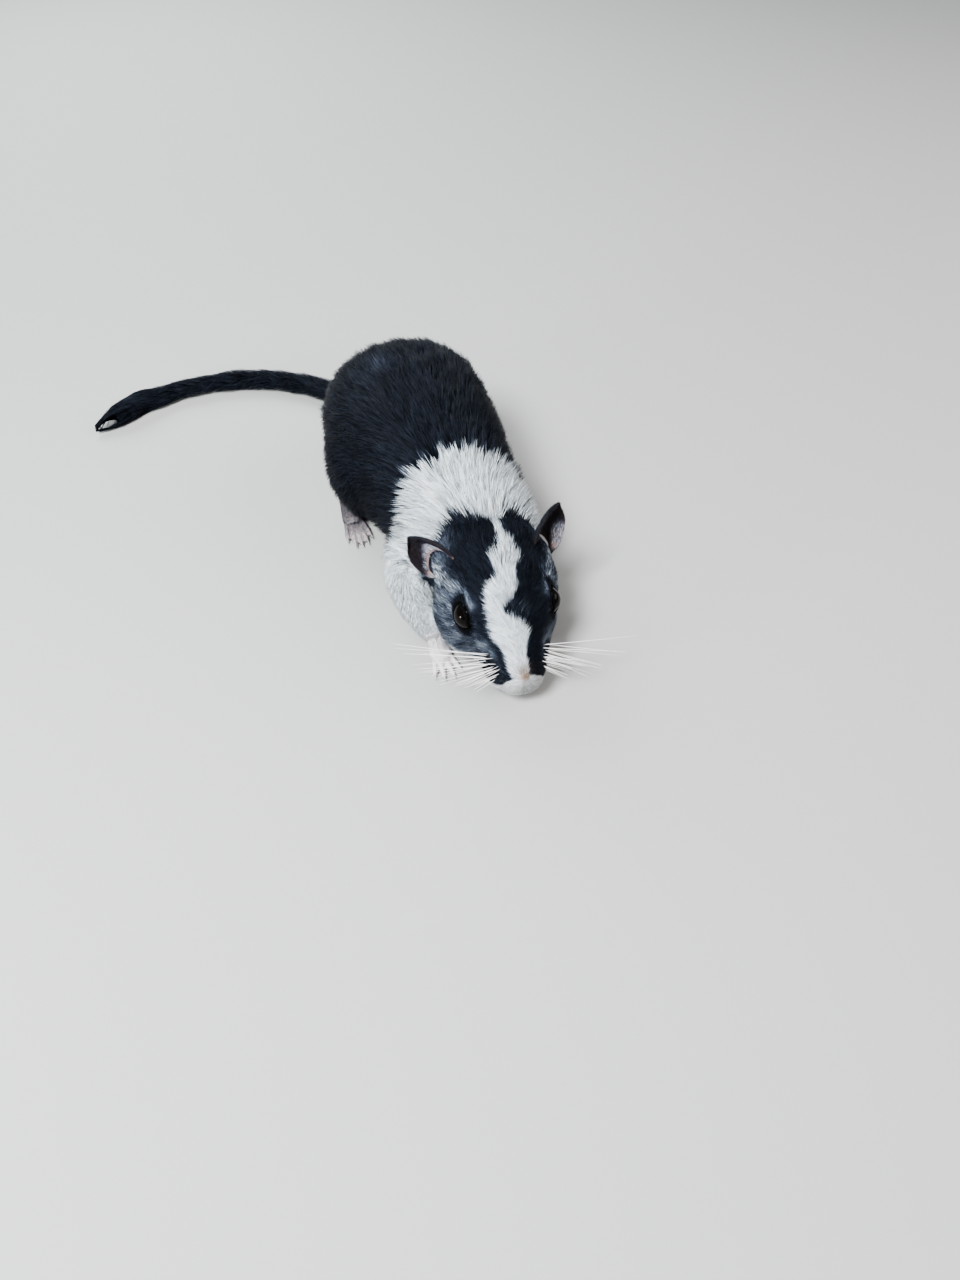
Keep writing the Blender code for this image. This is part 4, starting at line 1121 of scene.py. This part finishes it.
def eyelids(side):
    way = EYE_WAYS[side]
    one, two = basis(way, LID_WAY)

    def place(turn, spin):
        pinch = 1 - 0.38 * math.cos(turn) ** 2
        flat = one * math.cos(turn) * LID_LENGTH + two * math.sin(turn) * LID_HEIGHT * pinch
        out = math.sqrt(max(0.0, EYE_RADIUS**2 - flat @ flat)) * way
        radial = unit(flat + out)
        ahead = unit(-one * math.sin(turn) * LID_LENGTH + two * math.cos(turn) * LID_HEIGHT)
        across = np.cross(ahead, radial)
        thick = (LID_THICK + LID_RISE * math.sin(turn)) * MM
        roll = radial * math.cos(spin) * thick * 0.8 + across * math.sin(spin) * thick * 1.25
        return EYES[side] + flat + out + roll

    points = [place(2 * math.pi * r / LID_ROWS, 2 * math.pi * c / LID_COLUMNS)
              for r in range(LID_ROWS) for c in range(LID_COLUMNS)]
    made = smooth_object("eyelids_" + side, points, tube_faces(LID_ROWS, LID_COLUMNS, LID_ROWS))
    wear(made, rim_finish)
    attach(made, "root")
    return made


for side in SIDES:
    eyelids(side)
print("lids rolled")

# %% [markdown]
# ## Nose
# The nose pad is small and bare, pinkish, stained brown on top, with two comma-shaped nostrils and
# a groove down the middle. It is an egg whose points are pressed in along those lines, and whose
# colour is darkened there as painted shade in the hollows.

# %% Nose pad
PALE_NOSE, NOSE_STAIN = np.array((0.34, 0.25, 0.225)), np.array((0.12, 0.075, 0.05))
nose_finish, nose_shader = finish("nose_leather", (0.5, 0.3, 0.24), 0.5, Subsurface_Weight=0.1)
nose_shader.inputs["Subsurface Radius"].default_value = (0.0004, 0.0002, 0.0001)
tint_from_mesh(nose_finish, nose_shader, "nose_tint", 3200, 0.8)
add_bump(nose_finish, nose_shader, 6000, 0.35, 0.0001)


def nose_pad():
    centre, size = np.array((0.0, 0.1, 0.5)), np.array((1.45, 1.25, 1.05))
    tints = []

    def place(tilt, turn):
        way = np.array((math.sin(tilt) * math.cos(turn), -math.cos(tilt), math.sin(tilt) * math.sin(turn)))
        spot = centre + way * size
        hollow = sum(math.exp(-(((spot[0] - sign * (0.70 + 0.28 * n)) / 0.24) ** 2
                                + ((spot[2] - (0.15 + 0.20 * n)) / 0.18) ** 2))
                     for sign in (-1, 1) for n in (0, 1, 2))
        groove = math.exp(-((spot[0] / 0.16) ** 2)) * float(ramp(0.9 - spot[2], 0, 0.8))
        inward = 0.42 * min(hollow, 1.0) + 0.22 * groove
        # dark is painted shade in the nostrils and the groove.
        dark = 1 - 0.85 * min(hollow, 1.0) - 0.35 * groove
        stain = float(ramp(spot[2], 0.5, 1.5))
        tints.append((PALE_NOSE * (1 - stain) + NOSE_STAIN * stain) * dark)
        return at_head(*(spot - way * inward))

    made = egg("nose_pad", 44, 56, place)
    tints += [tints[0], tints[-1]]
    store_colour(made.data, "nose_tint", np.array(tints))
    wear(made, nose_finish)
    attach(made, "root")
    return made


nose_pad()
print("nose set")

# %% [markdown]
# ## Ears
# An ear is a thin curled leaf. The solids have its shape but few faces, so a copy is remeshed very
# finely, thinned a little and smoothed. Its skin is black on the back and dark brown in the cup
# towards the tip, and pale where the white down grows. Short black hair covers the back.

# %% Ear skin
EAR_WAYS = {"left": unit(np.array((0.42, 0.47, 0.78)) @ HEAD),
            "right": unit(np.array((-0.68, 0.46, 0.57)) @ HEAD)}
EAR_FACES = {"left": unit(np.array((0.38, -0.92, 0.05)) @ HEAD),
             "right": unit(np.array((-0.25, -0.96, 0.10)) @ HEAD)}
DARK_LEAF, BROWN_CUP, PALE_CUP = (np.array(c) for c in ((0.012, 0.011, 0.013), (0.020, 0.012, 0.011),
                                                        (0.24, 0.17, 0.165)))
ear_finish, ear_shader = finish("ear_leaf_skin", (0.1, 0.06, 0.05), 0.65, Specular_IOR_Level=0.12)
tint_from_mesh(ear_finish, ear_shader, "ear_tint", 1600, 0.7)
add_bump(ear_finish, ear_shader, 4000, 0.3, 0.0001)


def ear_pale(points, side):
    """1 where the cup is pale: its inner part on the right ear, its lower outer edge on the left."""
    across, back, up = read_head(points)
    if side == "right":
        return ramp(16.5 + across, -0.9, 0.9) * ramp(8.6 - up, 0, 1.6)
    return 0.8 * ramp(across, 14.8, 16.0) * ramp(8.0 - up, 0, 3)


def ear(side):
    made = one_skin("ear_leaf_" + side, ["ear_" + side], 0.00002, 0.00017, 5)
    points = numbers(made.data.vertices, "co", 3)
    normals = numbers(made.data.vertex_normals, "vector", 3)
    height = (points - EAR_ROOTS[side]) @ EAR_WAYS[side] / MM
    root = ramp(2.6 - height, 0, 2.2)[:, None]
    points = points - normals * 0.00010 + (EAR_ROOTS[side] - points) * 0.35 * root
    move_points(made, points)
    cup = ramp(normals @ EAR_FACES[side], 0.0, 0.5)[:, None]
    pale = ear_pale(points, side)[:, None]
    tint = DARK_LEAF * (1 - cup) + (BROWN_CUP * (1 - pale) + PALE_CUP * pale) * cup
    store_colour(made.data, "ear_tint", tint)
    wear(made, ear_finish)
    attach(made, "root")
    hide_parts("ear_" + side)
    return made


ears = {side: ear(side) for side in SIDES}

# %% Ear hair
EAR_STYLE = dict(rings=1, lift=1.1, clump=0.1, size=4, wander=0.35, sweep=1.3, reach_share=0.3, root=0.7)


def hair_ground(made, way, length, width, depth, thick):
    """A ground whose hair all lies one way, with its sizes given outright."""
    unwrapped(made)
    ground = ground_of(made)
    ground["lie"] = flattened(np.array(way), ground["normals"])
    count = len(ground["points"])
    for name, value in (("length", length), ("width", width), ("depth", depth), ("thick", thick)):
        ground[name] = np.full(count, value)
    ground["kind"] = np.zeros(count, int)
    return ground


def even_tone(tone, scatter):
    """One tone and one scatter, wherever a tuft asks."""
    return lambda points, kinds: (np.full(len(points), tone), np.full(len(points), scatter))


for side, sign in SIDES.items():
    leaf = hair_ground(ears[side], EAR_WAYS[side], 1.5, 0.11, 0.28, 16.0)
    facing = leaf["face_normals"] @ EAR_FACES[side]
    height = (leaf["centres"] - EAR_ROOTS[side]) @ EAR_WAYS[side] / MM

    def down_tone(points, kinds, side=side):
        pale = ear_pale(points, side)
        return 0.07 + 0.55 * pale, 0.06 + 0.22 * pale

    grow("ear_back_hair_" + side, leaf, (facing < 0.15) & (height < 12.5), 300 + sign,
         even_tone(0.07, 0.09), EAR_STYLE)
    leaf["length"][:] = 1.7
    leaf["depth"][:] = 0.35
    leaf["width"][:] = 0.10
    leaf["thick"][:] = 12.0 + 18.0 * ear_pale(leaf["points"], side)
    grow("ear_down_" + side, leaf, facing > 0.0, 310 + sign, down_tone, EAR_STYLE,
         np.array((1.0, 0.94, 0.95)))

# %% [markdown]
# ## Paws
# The hands are pink and nearly bare, with four fingers and thin pale claws. The hind feet are long,
# and furred dark above down to paler toes. Copies of the solids are remeshed finely, the hands
# together with the leg above, so that the wrist runs up inside the fur with no gap. A little way
# up the leg the hand's skin is cut off.

# %% Skin of the paws
paw_finish, paw_shader = finish("pink_paw_skin", (0.6, 0.4, 0.35), 0.5, Subsurface_Weight=0.3)
paw_shader.inputs["Subsurface Radius"].default_value = (0.0012, 0.0005, 0.0003)
tint_from_mesh(paw_finish, paw_shader, "paw_tint", 2400, 0.85)
add_bump(paw_finish, paw_shader, 3500, 0.4, 0.0002)
WRIST_END = -0.029
PALE_PINK, FOOT_PINK, DARK_FOOT = (np.array(c) for c in ((0.62, 0.545, 0.54), (0.40, 0.33, 0.31),
                                                         (0.10, 0.085, 0.09)))


def cut_off_behind(made, along):
    """Takes away what lies behind a place along the body, and closes the cut."""
    shell = bmesh.new()
    shell.from_mesh(made.data)
    everything = shell.verts[:] + shell.edges[:] + shell.faces[:]
    bmesh.ops.bisect_plane(shell, geom=everything, plane_co=(0, along, 0), plane_no=(0, 1, 0),
                           clear_outer=True)
    bmesh.ops.holes_fill(shell, edges=[edge for edge in shell.edges if edge.is_boundary])
    shell.to_mesh(made.data)
    shell.free()


def paw(kind, side, nodes, voxel):
    made = one_skin(f"{kind}_skin_{side}", nodes, 0.00012, voxel, 3)
    if kind == "hand":
        cut_off_behind(made, WRIST_END)
    points = numbers(made.data.vertices, "co", 3)
    normals = numbers(made.data.vertex_normals, "vector", 3)
    if kind == "hand":
        shrink = np.interp(points[:, 1] / MM, [-36, -32, -20], [0.16, 0.5, 1.6])
        tint = np.full_like(points, PALE_PINK)
    else:
        shrink = np.full(len(points), 0.2)
        dark = ramp(points[:, 1] / MM, 8, 16)[:, None]
        tint = FOOT_PINK * (1 - dark) + DARK_FOOT * dark
    points = points - normals * (shrink * MM)[:, None]
    points[:, 2] = np.maximum(points[:, 2], 0.00005)
    move_points(made, points)
    store_colour(made.data, "paw_tint", tint)
    wear(made, paw_finish)
    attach(made, "root")
    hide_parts(nodes[0])
    return made


paws = {}
for side in SIDES:
    paws["hand", side] = paw("hand", side, ["forepaw_" + side, "foreleg_" + side], 0.00024)
    paws["foot", side] = paw("foot", side, ["hindfoot_" + side], 0.00022)

# %% Hair of the paws
PAW_STYLE = dict(rings=1, lift=1.1, clump=0.2, size=5, wander=0.2, sweep=1.3, reach_share=0.3, root=0.62)
PALE_TINGE = np.array((1.0, 0.975, 0.985))
WRIST = [-42, -38, -33]
for (kind, side), made in paws.items():
    if kind == "hand":
        furred = hair_ground(made, (0, -1.0, -0.2), 0.9, 0.09, 0.16, 18.0)
        furred["length"] = np.interp(furred["points"][:, 1] / MM, WRIST, [0.7, 1.2, 2.6])
        furred["depth"] = np.interp(furred["points"][:, 1] / MM, WRIST, [0.14, 0.22, 0.60])
        where = (furred["face_normals"][:, 2] > -0.1) & (furred["centres"][:, 1] < -0.028)
        grow("hand_hair_" + side, furred, where, 330 + SIDES[side], even_tone(0.93, 0.06), PAW_STYLE,
             PALE_TINGE)
    else:
        furred = hair_ground(made, (0, -1.0, -0.1), 1.5, 0.12, 0.3, 12.0)
        where = furred["face_normals"][:, 2] > -0.1

        def foot_tone(points, kinds):
            dark = ramp(points[:, 1] / MM, 8.5, 15.5)
            return 0.64 * (1 - dark) + 0.12 * dark, 0.12 + 0.06 * dark

        grow("foot_hair_" + side, furred, where, 340 + SIDES[side], foot_tone, PAW_STYLE,
             PALE_TINGE)

# %% [markdown]
# ## Whiskers
# The whiskers spring in rows from the pads beside the nose, the longest furthest back. They are
# stiff, pale and slightly bent, and thin to nothing at the tip. Each is a tapered tube whose root
# is on the skin.

# %% Whiskers
whisker_finish, whisker_shader = finish("pale_whisker", (0.5, 0.4, 0.35), 0.4, Specular_IOR_Level=0.3)
mottled(whisker_finish, whisker_shader, 300.0, (0.80, 0.73, 0.69), (0.93, 0.90, 0.88))


def tapered(line, radius, sides=5):
    """Points and faces of a closed thread that thins along a line."""
    line = np.array(line)
    ahead = unit(np.gradient(line, axis=0))
    one = unit(np.cross(ahead, (0.1, 0.2, 1.0)))
    two = np.cross(ahead, one)
    share = np.linspace(0, 1, len(line) - 1)
    rings = [line[n] + radius * (1 - 0.7 * share[n]) * (math.cos(a) * one[n] + math.sin(a) * two[n])
             for n in range(len(line) - 1) for a in np.arange(sides) * 2 * math.pi / sides]
    faces = [tuple(range(sides))[::-1]] + tube_faces(len(line) - 1, sides, len(line) - 2)
    last = (len(line) - 2) * sides
    faces += [(last + s, last + (s + 1) % sides, len(rings)) for s in range(sides)]
    return rings + [line[-1]], faces


def threads(name, lines, radius, finish_of):
    """Many thin threads in one object."""
    points, faces = [], []
    for line, thick in zip(lines, radius):
        made, sheets = tapered(line, thick)
        faces += [tuple(len(points) + i for i in f) for f in sheets]
        points += made
    made = smooth_object(name, points, faces)
    wear(made, finish_of)
    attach(made, "root")
    print(name, "has", len(lines), "threads")
    return made


# How far back the foremost whisker of a row points, and how much more each next one does. Those
# on the animal's left are swept forward.
SWEEP = {1: (-0.60, 0.07), -1: (-0.24, 0.12)}


def whisker_lines(sign, rng):
    lines, thick = [], []
    for row in range(5):
        for column in range(5):
            back, up = 2.2 + 1.25 * column + rng.uniform(-0.6, 0.6), 0.9 - row + rng.uniform(-0.5, 0.5)
            start = np.array(ground["find"](at_head(sign * 6.0, back, up))[0])
            length = (8.0 + 4.2 * column) * rng.uniform(0.8, 1.1) * (1 - 0.08 * row)
            first, step = SWEEP[sign]
            way = unit(np.array((sign, first + step * column + rng.uniform(-0.2, 0.2),
                                 0.08 - 0.12 * row + rng.uniform(-0.12, 0.12))) @ HEAD)
            sag = unit(np.array((0, 0.5, -0.7)) @ HEAD) * rng.uniform(0.05, 0.16)
            line = [start + way * t * length * MM + sag * t * t * length * MM for t in np.linspace(0, 1, 9)]
            line = [np.array((p[0], p[1], max(p[2], 0.0004))) for p in line]
            lines.append(line)
            thick.append(rng.uniform(0.085, 0.120) * MM)
    return lines, thick


for side, sign in SIDES.items():
    lines, thick = whisker_lines(sign, np.random.default_rng(41 + sign))
    threads("whiskers_" + side, lines, thick, whisker_finish)

# %% [markdown]
# ## Claws
# Each toe ends in a thin horn claw that leaves it near the floor and curves down. The toes spread
# from the middle of a hand or the ball of a foot like the ribs of a fan, so a claw's place follows
# from the angle and length of its toe.

# %% Claws
claw_finish, claw_shader = finish("pale_horn", (0.5, 0.42, 0.38), 0.4)
mottled(claw_finish, claw_shader, 1500.0, (0.36, 0.30, 0.27), (0.58, 0.50, 0.46))
HANDS = {"left": (11.2, -35.6, 0.0), "right": (-14.1, -38.6, 0.0)}
BALLS = {"left": (22.2, 17.3, 0.0), "right": (-22.6, 17.3, 0.0)}
FINGERS = dict(fan=(4.4, 2.4), angles=(-0.52, -0.17, 0.17, 0.50), lengths=(4.2, 5.2, 5.0, 4.0), radius=0.78)
TOES = dict(fan=(6.0, 2.6), angles=(-0.36, -0.17, 0, 0.17, 0.38), lengths=(5.8, 8.0, 8.5, 8.0, 5.5),
            radius=0.88)
# Along the claw, up, in shares of the claw's length and the toe's radius
CLAW_LINE = ((-0.15, 0.20), (0.12, 0.36), (0.45, 0.42), (0.80, 0.20), (1.02, -0.20))


def claw_lines(middle_of_fan, sign, digits):
    """One short bent line for each toe, in metres."""
    lines = []
    for angle, length in zip(digits["angles"], digits["lengths"]):
        radius, heading = digits["radius"], sign * angle * 0.55
        root = np.array(middle_of_fan) + (math.sin(sign * angle) * digits["fan"][0],
                                          -math.cos(angle) * digits["fan"][1], radius * 0.9)
        ahead = np.array((math.sin(heading), -math.cos(heading), 0.0))
        end = root + ahead * length * 0.86
        steps = [ahead * radius * 2.4 * t + np.array((0, 0, radius * h)) for t, h in CLAW_LINE]
        lines.append([(end + step) * MM for step in steps])
    return lines


for side, sign in SIDES.items():
    for node, middles, digits in (("forepaw_", HANDS, FINGERS), ("hindfoot_", BALLS, TOES)):
        lines = claw_lines(middles[side], sign, digits)
        tips = np.array([line[-1] for line in lines])
        corners = numbers(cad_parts[node + side].data.vertices, "co", 3)
        off = max(reach(corners, tip).min() for tip in tips)
        threads("claws_" + node + side, lines, [0.30 * MM] * len(lines), claw_finish)
        print("its tips lie within", round(off, 2), "mm of the solid's claws")
